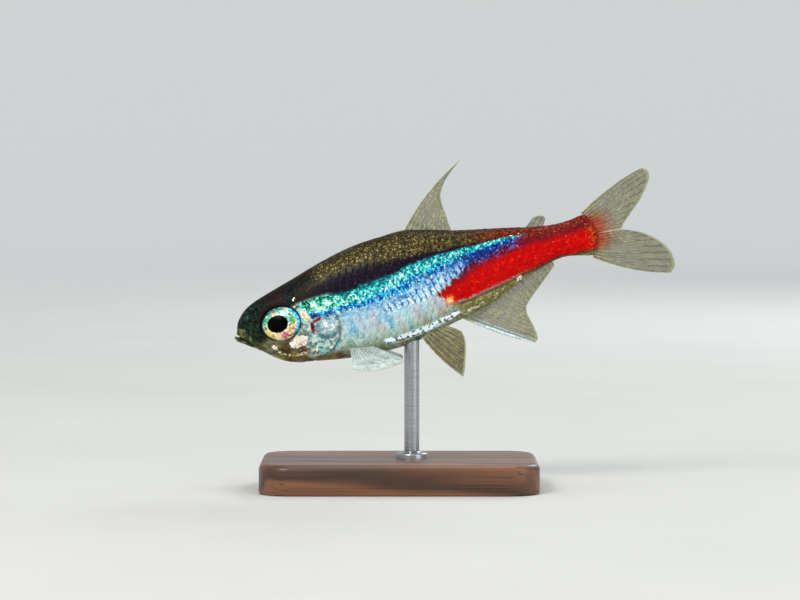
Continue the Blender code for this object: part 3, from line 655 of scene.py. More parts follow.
def material(name, **plain):
    """A Principled material with plain values on its own sockets, and a writer of nodes for the rest."""
    made = bpy.data.materials.new(name)
    made.use_nodes = True
    shader = made.node_tree.nodes["Principled BSDF"]
    nodes = Nodes(made.node_tree)
    nodes.set_inputs(shader, **plain)
    return made, nodes, shader


def bump(nodes, shader, height, depth):
    """Feeds the shader's normal with a bump of so many millimetres."""
    node = nodes.add("Bump", {"Strength": 1.0, "Distance": depth * MM, "Height": height})
    nodes.feed(shader.inputs["Normal"], node.outputs[0])


def speckle_group():
    """Glittering specks: a share of the cells light up, each by its own amount, with soft gaps between them.
    The tone is another value of each cell, without gaps, for foil."""
    tree, n, given, end = group_of("glitter", {"Size": 0.13, "Share": 0.35}, ("Specks", "Hue", "Tone"))
    at = n.vector("fish")
    torn = n.add("TexNoise", {"Vector": at, "Scale": 7.0, "Detail": 2.0}).outputs["Color"]
    torn_by = (0.22, 0.22, 0.22)
    at = n.add("VectorMath", (torn, torn_by, at), operation="MULTIPLY_ADD").outputs[0]
    distance, (first, second, third) = n.cells(at, n.math("DIVIDE", 1.0, given["Size"]))
    lit = n.math("GREATER_THAN", n.step(first, 0.0, 1.0), n.opposite(given["Share"]))
    specks = n.times(lit, n.step(distance, 0.55, 0.15), n.plus(0.45, n.times(second, 0.55)))
    n.set_inputs(end, Specks=specks, Hue=second, Tone=third)
    return tree


def belly_and_flank(m):
    """Silvery blue streaks, with an azure wash behind the gill, dull at the belly's edge and lilac above."""
    pale = m.ramp(
        m.shared(m.streak, m.fine, 0.85), (0.32, "60A8D0"), (0.41, "A2D2E4"), (0.48, "D6EEEE"),
        (0.54, "C6DEDE"), (0.60, "DED0D0"), (0.67, "B0C0D2"), (0.76, "7CBCDC"),
    )
    wash = m.times(m.azure, m.step(m.shared(m.streak, m.fine, 0.5), 0.38, 0.52))
    azure = m.ramp(m.fine, (0.40, "2C8CCC"), (0.52, "84D0F0"), (0.64, "E4FAFF"))
    pale = m.mix(m.times(wash, 0.85), pale, azure)
    rise = m.times(m.level, 0.2)
    under = m.ramp(rise, (0.0, "8C8A5C"), (0.045, "BCC0A4"), (0.12, "FFFFFF"), (1.0, "FFFFFF"))
    color = m.mix(1.0, pale, under, "MULTIPLY")
    color = m.mix(m.times(m.step(m.level, 0.30, 0.80), 0.32), color, "6CB0C8")
    lilac = m.ramp(
        m.shared(m.small_hue, m.soft, 0.6),
        (0.15, "3C4880"), (0.38, "6C98CC"), (0.58, "A8B4C8"), (0.85, "E0F6FF"),
    )
    return m.mix(m.times(m.step(m.level, 0.50, 0.95), m.plus(0.30, m.times(m.small, 0.70))), color, lilac)


def back_over(m, color):
    """The dark band over the stripe, then the olive back, which darkens to its ridge and towards the tail."""
    dusk = m.ramp(m.fine, (0.3, "07050C"), (0.5, "150D1C"), (0.7, "2A1C30"))
    color = m.mix(m.step(m.level, 2.30, 2.60), color, dusk)
    cell, _ = m.cells(m.at, 3.6)
    honey = m.plus(m.times(m.grain, 0.82), m.times(m.step(cell, 0.60, 0.10), 0.16))
    olive = m.ramp(honey, (0.36, "221D10"), (0.45, "41391F"), (0.53, "6C6032"), (0.64, "A09052"))
    color = m.mix(m.step(m.level, 3.70, 4.25), color, olive)
    color = m.mix(m.times(m.step(m.level, 4.40, 5.05), 0.70), color, "1A150E")
    return m.mix(m.times(m.step(m.level, 3.2, 3.6), m.step(m.along, 16.5, 20.5, 0.0, 0.35)), color, "120A06")


def rear_over(m, color):
    """Rust on the rear of the back, and a bruised purple between the red and the stripe."""
    warm = m.ramp(
        m.shared(m.fine, m.grain, 0.5),
        (0.40, "1C0604"), (0.50, "600E04"), (0.58, "A02006"), (0.67, "D4540C"),
    )
    rear_back = m.times(m.step(m.level, 2.95, 3.15), m.step(m.along, 18.5, 23.5))
    color = m.mix(m.times(rear_back, m.step(m.level, 5.1, 4.2, 0.45, 0.92)), color, warm)
    above = m.most(m.step(m.level, 0.55, 0.75), m.step(m.along, 22.5, 24.0))
    m.rear_flank = m.times(m.step(m.red, -1.3, -0.5), above, m.step(m.along, 17.2, 18.8))
    bruise = m.ramp(m.fine, (0.38, "180818"), (0.5, "401038"), (0.62, "701838"))
    bruise = m.mix(m.times(m.small, m.step(m.red, 0.0, -0.35, 0.3, 1.0)), bruise, "3454B0")
    bruise = m.mix(m.step(m.along, 20.5, 24.0), bruise, warm)
    return m.mix(m.times(m.rear_flank, m.step(m.level, 3.2, 2.9)), color, bruise)


def crown_tones(m):
    """A dark crown of black, green and wine, with a green snout and olive grains."""
    top = m.ramp(
        m.shared(m.broad, m.soft, 0.6),
        (0.38, "010607"), (0.45, "04181A"), (0.52, "26080E"), (0.60, "141A10"),
    )
    snout = m.ramp(m.shared(m.soft, m.fine, 0.7), (0.38, "020807"), (0.50, "081A15"), (0.62, "1E3A31"))
    top = m.mix(m.step(m.ragged(m.along, m.soft, 2.0), 3.4, 1.4, 0.0, 0.9), top, snout)
    return m.mix(m.times(m.step(m.grain, 0.60, 0.72), 0.26), top, "6C7044")


def cheek_tones(m):
    """A translucent cheek, brown at the jaw and pearly over the gill."""
    cheek = m.ramp(m.broad, (0.36, "38361F"), (0.48, "565436"), (0.58, "70724E"), (0.70, "949676"))
    jaw = m.ramp(m.broad, (0.36, "46381A"), (0.50, "6E5C2E"), (0.66, "96844C"))
    cheek = m.mix(m.step(m.ragged(m.up, m.soft, 1.0), -2.3, -3.2), cheek, jaw)
    pearl = m.ramp(m.soft, (0.36, "5C8490"), (0.46, "98B8B4"), (0.55, "D4E4D8"), (0.66, "A8DCCC"))
    over_gill = m.times(m.step(m.ragged(m.along, m.soft, 2.2), 4.5, 5.9), m.step(m.up, -3.9, -3.2))
    return m.mix(over_gill, cheek, pearl)


def head_over(m, color):
    """The crown over the cheek, and olive lips. Over the nape the crown gives way to the back's tones."""
    lip = m.ramp(m.soft, (0.36, "282E1A"), (0.50, "484E30"), (0.64, "7C7E56"))
    lips = m.step(m.ragged(m.lips, m.soft, 0.9), 0.36, 0.62)
    face = m.mix(lips, m.mix(m.crown, cheek_tones(m), crown_tones(m)), lip)
    nape = m.times(m.crown, m.step(m.ragged(m.along, m.soft, 1.6), 6.0, 8.2))
    return m.mix(m.times(m.head, m.opposite(m.times(nape, 0.85))), color, face)


def strip_over(m, color):
    """The pale strip over the anal fin, dark next to the red."""
    skirt = m.ramp(m.mottle, (0.38, "646032"), (0.50, "88844C"), (0.62, "B8AC7A"))
    by_red = m.step(m.ragged(m.red, m.fine, 0.4), -0.34, -0.14)
    return m.mix(m.strip, color, m.mix(m.times(by_red, 0.8), skirt, "38200F"))


def red_over(m, color):
    """The red, with a purple upper border that frays like flames, and brown where it ends at the tail."""
    ember = m.plus(m.shared(m.soft, m.fine, 0.6), m.times(m.off_scale, 0.12))
    glow = m.ramp(ember, (0.36, "B20000"), (0.48, "C00000"), (0.58, "CC0500"), (0.70, "DE2204"))
    border = m.ramp(m.fine, (0.35, "320416"), (0.6, "7C0A1C"))
    by_border = m.times(m.step(m.red, 0.95, 0.15), m.times(m.step(m.level, 0.45, 0.82), 0.95))
    glow = m.mix(by_border, glow, border)
    flames = m.noise(m.join(m.times(m.lean, 3.4), 0.0, m.times(m.up, 0.9)), 1.0)
    frayed = m.plus(m.sway(m.fine, 0.7), m.sway(flames, m.step(m.level, 0.3, 0.7, 0.0, 1.3)))
    m.red_here = m.step(m.plus(m.red, frayed), -0.12, 0.16)
    ending = m.step(m.ragged(m.along, m.fine, 1.4), 28.6, 29.6)
    brown = m.ramp(m.fine, (0.38, "3A1408"), (0.50, "902808"), (0.62, "B86020"))
    return m.mix(m.red_here, color, m.mix(m.times(ending, 0.75), glow, brown))


def glare_over(m, color):
    """The glare on the front of the red, which fades with the distance from its middle."""
    away = m.apart(m.join(m.along, 0.0, m.up), RED_GLARE)
    glare = m.step(m.ragged(away, m.fine, 0.8), 0.62, 0.02)
    tones = m.ramp(glare, (0.10, "CC1402"), (0.40, "E84408"), (0.70, "FC8C34"), (0.95, "FFD898"))
    return m.mix(m.least(m.times(glare, 1.3), 1.0), color, tones)


def turquoise_tones(m, bright):
    """Glittering turquoise, green near the head."""
    teal = m.ramp(
        bright, (0.12, "045864"), (0.28, "0692A0"), (0.42, "10C8C8"), (0.56, "60F8EC"), (0.74, "FFFFFF"),
    )
    green = m.ramp(
        bright, (0.12, "033C30"), (0.28, "058466"), (0.42, "18BE90"), (0.56, "84F6CC"), (0.72, "FFFFF2"),
    )
    return m.mix(m.step(m.ragged(m.along, m.soft, 3.0), 11.0, 6.4, 0.0, 0.9), teal, green)


def blue_tones(m, bright):
    """Bright blue, deeper towards the tail and streaked with a dark blue at its foot."""
    blue = m.ramp(
        bright, (0.10, "083C94"), (0.28, "0874C8"), (0.42, "0CACE0"), (0.56, "58DCF8"), (0.78, "F4FFFF"),
    )
    deep = m.ramp(bright, (0.12, "0A1058"), (0.30, "0C3098"), (0.46, "1260C8"), (0.66, "5CB4F4"))
    blue = m.mix(m.step(m.along, 15.5, 20.5), blue, deep)
    streaked = m.times(m.step(m.streak, 0.50, 0.40), m.step(m.level, 2.0, 1.3, 0.0, 0.55))
    return m.mix(streaked, blue, "082878")


def stripe_over(m, color):
    """The stripe: blue below, turquoise above, and large specks in its core."""
    by_head = m.step(m.along, 10.5, 6.5, 0.0, 0.06)
    dim = m.plus(m.step(m.level, 2.60, 3.05, 0.0, -0.20), m.step(m.along, 14.0, 21.0, 0.0, -0.10))
    painted = m.plus(m.times(m.cream, 0.24), m.times(m.navy, -0.22))
    bright = m.plus(m.foil, by_head, m.plus(dim, painted))
    m.blue = blue_tones(m, bright)
    stripe = m.mix(m.step(m.level, 1.65, 2.10), m.blue, turquoise_tones(m, bright))
    m.core_specks = m.times(m.large, m.times(m.step(m.level, 1.9, 2.2), m.step(m.level, 2.85, 2.55)))
    stripe = m.mix(m.times(m.core_specks, m.step(m.along, 24.0, 17.0, 0.25, 0.60)), stripe, "D8FFF6")
    m.in_stripe = m.times(m.step(m.level, 0.80, 1.15), m.step(m.level, 3.12, 2.88), m.neon)
    return m.mix(m.in_stripe, color, stripe)


def bars_over(m, color):
    """Silver bars under the blue: columns a pitch apart, with thin dark blue gaps."""
    pitch = 0.5
    comb = m.math("PINGPONG", m.ragged(m.lean, m.soft, 0.35), pitch / 2)
    bar = m.ramp(
        m.shared(m.foil, m.soft, 0.5),
        (0.26, "6CB0E8"), (0.38, "B0DCF8"), (0.48, "E8FAFF"), (0.60, "FFFFFF"),
    )
    bar = m.mix(m.times(m.step(m.ragged(comb, m.fine, 0.14), 0.11, 0.03), 0.9), bar, "0A3488")
    bar = m.mix(m.step(m.level, 0.65, 1.05, 0.0, 0.75), bar, m.blue)
    here = m.step(m.ragged(m.bars, m.fine, 0.9), 0.25, 0.60)
    return m.mix(m.times(here, m.opposite(m.times(m.red_here, 0.8))), color, bar)


def dome_with_painted_light_over(m, color):
    """The silver dome of the gill cover with painted light and shade: lightest at its middle and upper rear,
    as if lit from above and the rear, and darker towards its edge like a lit ball.
    """
    # Painted light and shade over the dome's silver: lighter towards the upper rear, darker from the middle
    # out to the edge.
    lit = m.step(m.plus(m.times(m.along, 0.6), m.up), 1.8, 3.6, -0.14, 0.16)
    rough = m.plus(m.sway(m.soft, 0.8), m.sway(m.fine, 0.7))
    dome = m.ramp(
        m.plus(m.times(m.silver, 0.47), lit, rough),
        (0.14, "4C8084"), (0.34, "88AEB2"), (0.50, "B6CED6"), (0.62, "E6EAF2"), (0.74, "FFFFFF"),
    )
    m.silver_here = m.step(m.plus(m.silver, m.times(m.torn, 0.6)), 0.22, 0.42)
    return m.mix(m.silver_here, color, dome)


def patch_over(m, color, value, low, *tones):
    """One kind of painted patch, with torn edges and mottled in its tones, and a mask of where it is."""
    here = m.times(m.step(m.plus(value, m.torn), low, low + 0.30), m.step(value, 0.03, 0.15))
    return m.mix(here, color, m.ramp(m.mottle, *tones)), here


def patches_over(m, color):
    """All the painted patches, one kind over the other."""
    color, _ = patch_over(m, color, m.rust, 0.36, (0.35, "3E1A0E"), (0.55, "6E3218"), (0.72, "A05A34"))
    color = dome_with_painted_light_over(m, color)
    color, m.aqua_here = patch_over(
        m, color, m.aqua, 0.40, (0.34, "0E6C88"), (0.46, "2CB0B8"), (0.56, "B4F4DC"), (0.68, "4CA0DC"),
    )
    color, _ = patch_over(m, color, m.navy, 0.36, (0.35, "050B1C"), (0.55, "0C2048"), (0.72, "144A80"))
    bare = m.opposite(m.times(m.in_stripe, m.step(m.along, 5.8, 6.4, 0.15, 0.85)))
    color, _ = patch_over(
        m, color, m.times(m.cream, bare), 0.34,
        (0.38, "DCB490"), (0.46, "F2DAC0"), (0.52, "FFF6EC"), (0.58, "FFFFFF"), (0.66, "DCFCE4"),
    )
    scattered = m.most(m.step(m.up, -2.4, -2.0), m.least(m.plus(0.58, m.times(m.small, 0.84)), 1.0))
    color, m.gold_here = patch_over(
        m, color, m.times(m.gold, scattered), 0.42, (0.34, "DC9C38"), (0.48, "FCD468"), (0.60, "FFFCD8"),
    )
    color, _ = patch_over(m, color, m.blood, 0.40, (0.38, "34040A"), (0.50, "740C22"), (0.64, "B03850"))
    return color


def glints_over(m, color):
    """Bright chips along the glint line, which get a little painted glow like the stripe's core specks, and
    white specks low on the flank."""
    broken = m.noise(m.at, 3.6, 1.0)
    chips = m.mix(m.step(broken, 0.54, 0.57), m.ramp(m.foil, (0.1, "C8F0FF"), (0.3, "FFFFFF")), "18447C")
    here = m.times(m.glint, m.step(broken, 0.66, 0.60))
    color = m.mix(here, color, chips)
    sparkle = m.times(m.core_specks, m.times(m.in_stripe, 0.35))
    share = m.times(m.most(m.times(here, m.step(broken, 0.57, 0.54)), sparkle), 0.30)
    # Painted glow: emission stands in for light reflected by the glint chips and the stripe's core specks.
    m.shimmer = m.mix(share, "000000", "D0F4FF")
    plain = m.most(m.red_here, m.head, m.rear_flank, m.strip)
    specks = m.times(m.step(m.level, 2.0, 1.2), m.times(m.large, 0.30), m.opposite(plain))
    return m.mix(specks, color, "FFFFFF")


def crease_shade_and_net_over(m, color, edge):
    """Painted shade in the head's creases, and the dark net of the scales' edges, strongest on the back."""
    # Painted shade: the head's creases, the gape, the eye's socket and the nostrils are darkened.
    color = m.mix(m.times(m.crease_shade, 0.85), color, "0A0908")
    net = m.times(edge, m.step(m.level, 3.4, 4.2, 0.02, 0.30))
    return m.mix(net, color, m.mix(m.step(m.level, 2.5, 3.2), "50607A", "0D0A07"))


def gloss_of(m):
    """How rough, metallic, raised and wet the markings are: the stripe and the bright patches are
    metallic, and the red, the crown and the back are less wet."""
    shine = m.most(m.in_stripe, m.silver_here, m.gold_here, m.aqua_here)
    metal = m.plus(m.times(shine, 0.40), m.times(m.step(m.level, 1.2, 0.7), 0.15))
    metal = m.times(metal, m.opposite(m.times(m.red_here, 0.9)), m.opposite(m.crease_shade))
    wet = m.times(m.step(m.level, 3.0, 2.6, 0.045, 0.20), m.opposite(m.times(m.head, m.crown, 0.8)))
    grainy = m.times(m.fine, m.step(m.red, -0.1, 0.2, 0.7, 0.3))
    return {
        "Roughness": m.plus(0.46, m.times(shine, -0.12), m.sway(m.fine, 0.3)),
        "Metallic": m.least(metal, 0.8),
        "Height": m.plus(grainy, m.times(m.small, m.in_stripe, 0.4)),
        "Coat": m.times(wet, m.opposite(m.times(m.red_here, 0.85))),
    }


def markings_group(glitter):
    """The fish's colours from the values on its points.

    `bands` holds the band (0 belly, 1 foot of the blue, 2 foot of the turquoise, 3 top of the stripe, 4
    top of the dark band, 5 back), the strength of the stripe and the depth inside the red. `regions`
    holds the head, the pale strip over the anal fin, and the glints. `folds` holds the crown, the lips
    and the painted shade in the creases. `coats`, `tints` and `shades` hold the painted patches.
    """
    outputs = ("Color", "Roughness", "Metallic", "Height", "Coat", "Glow")
    tree, _, given, end = group_of("markings", {"Chance": 0.5, "Edge": 0.0}, outputs)
    m = Marks(tree, given["Chance"], glitter)
    color = belly_and_flank(m)
    for marking in (
        back_over, rear_over, head_over, strip_over, red_over, glare_over, stripe_over, bars_over,
        patches_over, glints_over,
    ):
        color = marking(m, color)
    color = crease_shade_and_net_over(m, color, given["Edge"])
    m.set_inputs(end, Color=color, Glow=m.shimmer, **gloss_of(m))
    return tree


def marked_material(name, group, depth, on_scales):
    """The markings on wet skin: a clear coat over them, and a fine bump. Each scale also has its own
    chance, and an edge."""
    made, n, shader = material(name, Coat_Roughness=0.20, Specular_IOR_Level=0.05, Emission_Strength=1.0)
    inputs = {"Chance": n.value("chance"), "Edge": n.value("edge")} if on_scales else {}
    marks = n.add("Group", inputs, node_tree=group).outputs
    n.set_inputs(shader, Base_Color=marks["Color"], Roughness=marks["Roughness"], Metallic=marks["Metallic"],
                 # The emission carries the markings' painted glow.
                 Coat_Weight=marks["Coat"], Emission_Color=marks["Glow"])
    bump(n, shader, marks["Height"], depth)
    return made


def iris_tones(n, at, up, fine, drift, shred):
    """Green silver over gold, with flecks, and a painted shade at the top, under the rim of the socket."""
    low = n.ramp(fine, (0.34, "84500C"), (0.43, "D89C34"), (0.51, "FCE0A0"), (0.60, "FFFFF6"))
    high = n.ramp(fine, (0.34, "0A5044"), (0.43, "34947C"), (0.52, "98DCC4"), (0.62, "FFFFFF"))
    color = n.mix(n.step(n.plus(up, drift), -0.45, 0.30), low, high)
    tear = n.plus(n.times(drift, 0.25), n.times(shred, 0.35))
    for to_rear, upward, reach, code, strength in IRIS_FLECKS:
        away = n.apart(at, (to_rear, upward, 0.0))
        here = n.step(n.plus(away, tear), reach, reach * 0.35)
        color = n.mix(n.times(here, strength), color, code)
    # Painted shade: the iris turns dark teal at its top, where the socket's rim shades it.
    return n.mix(n.step(n.plus(up, n.times(shred, 0.2)), 0.72, 1.30, 0.0, 0.75), color, "0A4A44")


def eye_material():
    """Iris of green silver over gold with flecks, a black pupil, a dark rim and a blue crescent at the
    rear, under a clear coat."""
    made, n, shader = material("eye_gloss", Coat_Roughness=0.03, Specular_IOR_Level=0.03)
    pupil, rim, _ = n.parts(n.vector("iris"))
    at = n.vector("eye_place")
    rear, up, _ = n.parts(at)
    fine = n.noise(at, 4.4, 4.0)
    drift, shred = n.sway(n.noise(at, 1.9, 3.0), 1.6), n.sway(fine, 1.2)
    color = iris_tones(n, at, up, fine, drift, shred)
    near_rim = n.step(n.plus(rim, n.times(shred, 0.08)), 0.78, 0.86)
    crescent = n.times(near_rim, n.step(n.plus(rear, n.times(up, -0.1)), 0.72, 1.05))
    color = n.mix(crescent, color, n.ramp(fine, (0.32, "0A64A4"), (0.48, "22B4E0"), (0.62, "A0F0F8")))
    teal = n.times(n.step(n.plus(rim, n.times(drift, 0.05)), 0.84, 0.93), n.step(rear, -0.45, -0.95))
    color = n.mix(teal, color, "0C2C34")
    color = n.mix(n.step(n.plus(rim, n.times(shred, 0.03)), 0.935, 0.98), color, "080C10")
    black = n.step(n.ragged(pupil, fine, 0.14), 1.04, 0.98)
    clear = n.opposite(black)
    n.set_inputs(
        shader,
        Base_Color=n.mix(black, color, "010101"),
        Coat_Weight=n.plus(0.01, n.times(clear, 0.36)),
        Metallic=n.times(clear, n.step(rim, 0.97, 0.93), 0.40),
        Roughness=n.plus(0.26, n.times(fine, 0.2)),
    )
    return made


def web_material(name, tones, cover):
    """Thin fin membrane: smoky between the rays, with fine dark specks, and milkier near the root and at the
    edge."""
    made, n, shader = material(name, Specular_IOR_Level=0.3)
    along, vein, root = n.parts(n.vector("web"))
    at, flush = n.vector("fish"), n.value("flush")
    mottle = n.noise(at, 4.0)
    specks = n.step(n.noise(at, 11.0), 0.58, 0.68)
    color = n.ramp(n.noise(at, 2.5), *zip((0.3, 0.5, 0.7), tones))
    color = n.mix(flush, color, n.ramp(mottle, (0.35, "7A2008"), (0.65, "C03C10")))
    color = n.mix(n.times(specks, 0.35), color, "1C180E")
    margin = n.step(along, 0.950, 0.975)
    color = n.mix(n.times(margin, 0.7), color, "B4B48C")
    fringe = n.times(n.step(root, 0.35, 0.75), n.step(root, 1.0, 0.8))
    color = n.mix(n.times(fringe, 0.6), color, "A8B09C")
    thick = n.most(n.times(vein, 0.20), n.times(root, 0.40), n.times(margin, 0.35))
    alpha = n.plus(cover, thick, n.plus(n.times(specks, 0.06), n.times(flush, 0.45)))
    n.set_inputs(shader, Base_Color=color, Alpha=alpha, Roughness=n.plus(0.25, n.times(mottle, 0.25)))
    bump(n, shader, n.noise(at, 8.0), 0.006)
    return made


def ray_material(name, tones, specked):
    """Bony fin rays: pale, jointed every third of a millimetre and specked with dark pigment. A leading
    ray may turn white towards its tip."""
    made, n, shader = material(name, Specular_IOR_Level=0.3)
    length, share, lead = n.parts(n.vector("ray"))
    at = n.vector("fish")
    joint = n.step(n.math("PINGPONG", n.times(length, 3.0), 0.5), 0.10, 0.0)
    color = n.ramp(n.noise(at, 5.0), *zip((0.3, 0.5, 0.7), tones))
    color = n.mix(n.value("flush"), color, "C83C10")
    white = n.times(lead, n.step(n.plus(share, n.times(n.noise(at, 3.0, 1.0), 0.2)), 0.25, 0.45))
    color = n.mix(white, color, n.ramp(n.noise(at, 4.0), (0.35, "8CC0D0"), (0.6, "E8F8FA")))
    color = n.mix(n.times(joint, 0.18), color, "2C2616")
    color = n.mix(n.times(n.step(n.noise(at, 9.0, 1.0), 0.60, 0.68), specked), color, "1E180C")
    alpha = n.most(n.step(share, 0.55, 1.0, 0.95, 0.6), white)
    n.set_inputs(shader, Base_Color=color, Alpha=alpha, Roughness=n.plus(0.3, n.times(joint, 0.2)))
    return made


def walnut_material():
    """Oiled walnut: rings stretched along the base's length, fine pores, and a satin clear coat."""
    made, n, shader = material("walnut", Coat_Weight=0.25, Coat_Roughness=0.25, Specular_IOR_Level=0.4)
    long = n.placed((60.0, 420.0, 420.0), (0.004, 0.013, 0.03))
    x, y, z = n.parts(long)
    warp = n.noise(long, 0.45, 3.0)
    rings = n.math("FRACT", n.plus(n.times(n.plus(y, n.times(z, 0.6)), 0.55), n.times(warp, 3.2)))
    pores = n.noise(n.join(n.times(x, 0.5), n.times(y, 9.0), n.times(z, 9.0)), 2.0)
    color = n.ramp(
        rings, (0.0, "3A2214"), (0.35, "5E3A22"), (0.75, "7A4E30"), (0.93, "4A2C1A"), (1.0, "3A2214"),
    )
    color = n.mix(n.step(pores, 0.56, 0.66, 0.0, 0.6), color, "22130A")
    n.set_inputs(shader, Base_Color=color, Roughness=n.plus(0.34, n.times(pores, 0.25)))
    bump(n, shader, n.plus(n.times(pores, -0.7), n.times(rings, 0.2)), 0.03)
    return made


def steel_material():
    """Turned stainless steel, with the fine rings of the lathe."""
    made, n, shader = material("turned_steel", Metallic=1.0)
    lines = n.noise(n.placed((300.0, 300.0, 24000.0)), 1.0)
    tones = n.ramp(lines, (0.3, "9A9CA0"), (0.7, "B2B4B8"))
    n.set_inputs(shader, Base_Color=tones, Roughness=n.plus(0.2, n.times(lines, 0.18)))
    bump(n, shader, lines, 0.0015)
    return made


# Markings as values on points

def height_of(line, station):
    """The height of a marking's bound at each station, straight between its points."""
    line = np.array(line)
    return np.interp(station, line[:, 0], line[:, 1])


def distance_to(line, station, height, steps=160):
    """The least distance from each point to a line on the side view, the share along it, and the side
    that the point lies on: 1 to the left of the line's direction, -1 to the right."""
    curve = along_curve(line, np.linspace(0, 1, steps))
    spots = np.stack([station, height], -1).reshape(-1, 2)
    least = np.full(len(spots), np.inf)
    index = np.zeros(len(spots), int)
    for i in range(steps):
        away = np.hypot(*(spots - curve[i]).T)
        nearer = away < least
        least[nearer], index[nearer] = away[nearer], i
    slope = np.gradient(curve, axis=0)[index]
    offset = spots - curve[index]
    side = np.sign(slope[:, 0] * offset[:, 1] - slope[:, 1] * offset[:, 0])
    shape = np.shape(station)
    return least.reshape(shape), (index / (steps - 1)).reshape(shape), side.reshape(shape)


def patches(name, station, height):
    """The painted patches of one name: each fades from its strength at its middle as exp(-(r^4)), r being
    the distance in its own half sizes after a turn."""
    total = np.zeros(np.shape(station))
    for at, up, long, tall, degrees, strength in PATCHES[name]:
        a = math.radians(degrees)
        x, z = station - at, height - up
        across, over = x * math.cos(a) + z * math.sin(a), z * math.cos(a) - x * math.sin(a)
        squared = (across / long) ** 2 + (over / tall) ** 2
        total = np.maximum(total, strength * np.exp(-(squared**2)))
    return total


def fade_ends(share, first=0.06, last=0.94):
    """Fades a line in over its first share and out from its last."""
    return ease(share, 0, first) * ease(share, 1, last)


def crease_shade_at(station, height):
    """Painted shade in the creases of the head: bell curves of the distance to each fold's line, two rings
    round the eye, stronger over it, and spots in the nostrils."""
    crease_shade = np.zeros(station.shape)
    for line, width, strength in CREASE_SHADES:
        away, share, _ = distance_to(line, station, height)
        crease_shade = np.maximum(crease_shade, strength * bell(away, width) * fade_ends(share))
    # Painted shade round the eye, deepest under the rim over it.
    across, tall = (station - EYE_AT[0]) / EYE_WIDE, (height - EYE_AT[1]) / EYE_TALL
    r = np.hypot(across, tall)
    crease_shade = np.maximum(crease_shade, bell(r - 1.0, 0.09) * (0.75 + 0.25 * np.clip(tall, -1, 1)))
    crease_shade = np.maximum(crease_shade, 0.8 * bell(r - 1.12, 0.06) * np.clip(tall, 0, 1))
    for at, up, size in NOSTRILS:
        crease_shade = np.maximum(crease_shade, np.exp(-((np.hypot(station - at, height - up) / size) ** 4)))
    return crease_shade


def folds_at(station, height):
    """The crown, the lips and the painted shade in the creases of the head."""
    crown = ease(height - height_of(CROWN_LOW, station), -0.22, 0.22)
    away, _, side = distance_to(MAXILLA, station, height)
    lips = ease(side * away, 0.12, -0.14) * ease(station, 1.80, 1.35)
    return np.stack([crown, lips, crease_shade_at(station, height)], -1)


def bands_at(station, height):
    """The band, the strength of the stripe, and the depth inside the red."""
    bounds = [body_size(BELLY, station).reshape(station.shape)]
    bounds += [height_of(line, station) for line in (BLUE_BOTTOM, TURQUOISE_BOTTOM, STRIPE_TOP, DARK_TOP)]
    bounds += [body_size(BACK, station).reshape(station.shape)]
    band = np.zeros(station.shape)
    for low, high in zip(bounds, bounds[1:]):
        band += np.clip((height - low) / np.maximum(high - low, 0.02), 0, 1)
    neon = ease(station, NEON_START, NEON_START + 0.8) * ease(station, NEON_END + 0.5, NEON_END - 1.2)
    below, above = height - height_of(RED_BOTTOM, station), height_of(RED_TOP, station) - height
    red = np.minimum(np.minimum(below, above), (station - RED_START) * 0.8)
    return np.stack([band, neon, red], -1)


def regions_at(station, height):
    """The head, the pale strip over the anal fin, and the glints."""
    heights, stations = np.array(HEAD_REAR).T
    rear = np.interp(height, heights, stations)
    head = ease(station, rear + 0.25, rear - 0.35)
    strip = ease(station, 16.4, 18.0) * ease(height - height_of(RED_BOTTOM, station), 0.12, -0.14)
    away, _, _ = distance_to(GLINT_LINE, station, height)
    return np.stack([head, strip, np.exp(-((away / GLINT_HALF) ** 4))], -1)


def marking_values(points):
    """All the values that the markings read, from points in the fish's frame."""
    station, height = points[..., 0], points[..., 2]
    folds = np.zeros((*station.shape, 3))
    near = station < HEAD_END
    folds[near] = folds_at(station[near], height[near])

    def painted(*names):
        return np.stack([patches(name, station, height) for name in names], -1)

    return {
        "fish": points,
        "bands": bands_at(station, height),
        "regions": regions_at(station, height),
        "folds": folds,
        "coats": painted("gold", "cream", "silver"),
        "tints": painted("blood", "aqua", "bars"),
        "shades": painted("rust", "navy", "azure"),
    }


# Skin

def mouth_relief(station, height):
    """The gape as a groove that deepens behind the snout, a lip on each side of it, and the upper jaw's
    bone as a groove with a ridge in front."""
    away, share, side = distance_to(MOUTH, station, height)
    fade = ease(share, 1.0, 0.84)
    gape = 0.070 - 0.035 * share
    relief = -(0.09 + 0.33 * ease(share, 0.06, 0.35)) * ease(away, gape + 0.05, gape - 0.02) * fade
    relief += 0.075 * bell(away - gape - 0.11, 0.075) * fade * np.where(side > 0, 0.75, 1.0)
    away, share, side = distance_to(MAXILLA, station, height)
    ridge, groove = 0.04 * bell(away - 0.08, 0.08) * (side < 0), 0.055 * bell(away, 0.05)
    return relief + (ridge - groove) * fade_ends(share, 0.1, 0.9)


def bone_relief(station, height):
    """The ridge of the cheek bone, the raised and grooved edge behind the cheek, and the groove low on
    the gill cover."""
    away, share, _ = distance_to(CHEEK_BONE, station, height)
    relief = 0.035 * bell(away, 0.13) * fade_ends(share, 0.1, 0.9)
    away, share, _ = distance_to(PREOPERCLE, station, height)
    relief += (0.07 * bell(away - 0.05, 0.12) - 0.05 * bell(away, 0.05)) * fade_ends(share, 0.12, 0.85)
    away, share, _ = distance_to(SUBOPERCLE, station, height)
    return relief - 0.045 * bell(away, 0.05) * fade_ends(share, 0.1, 0.92)


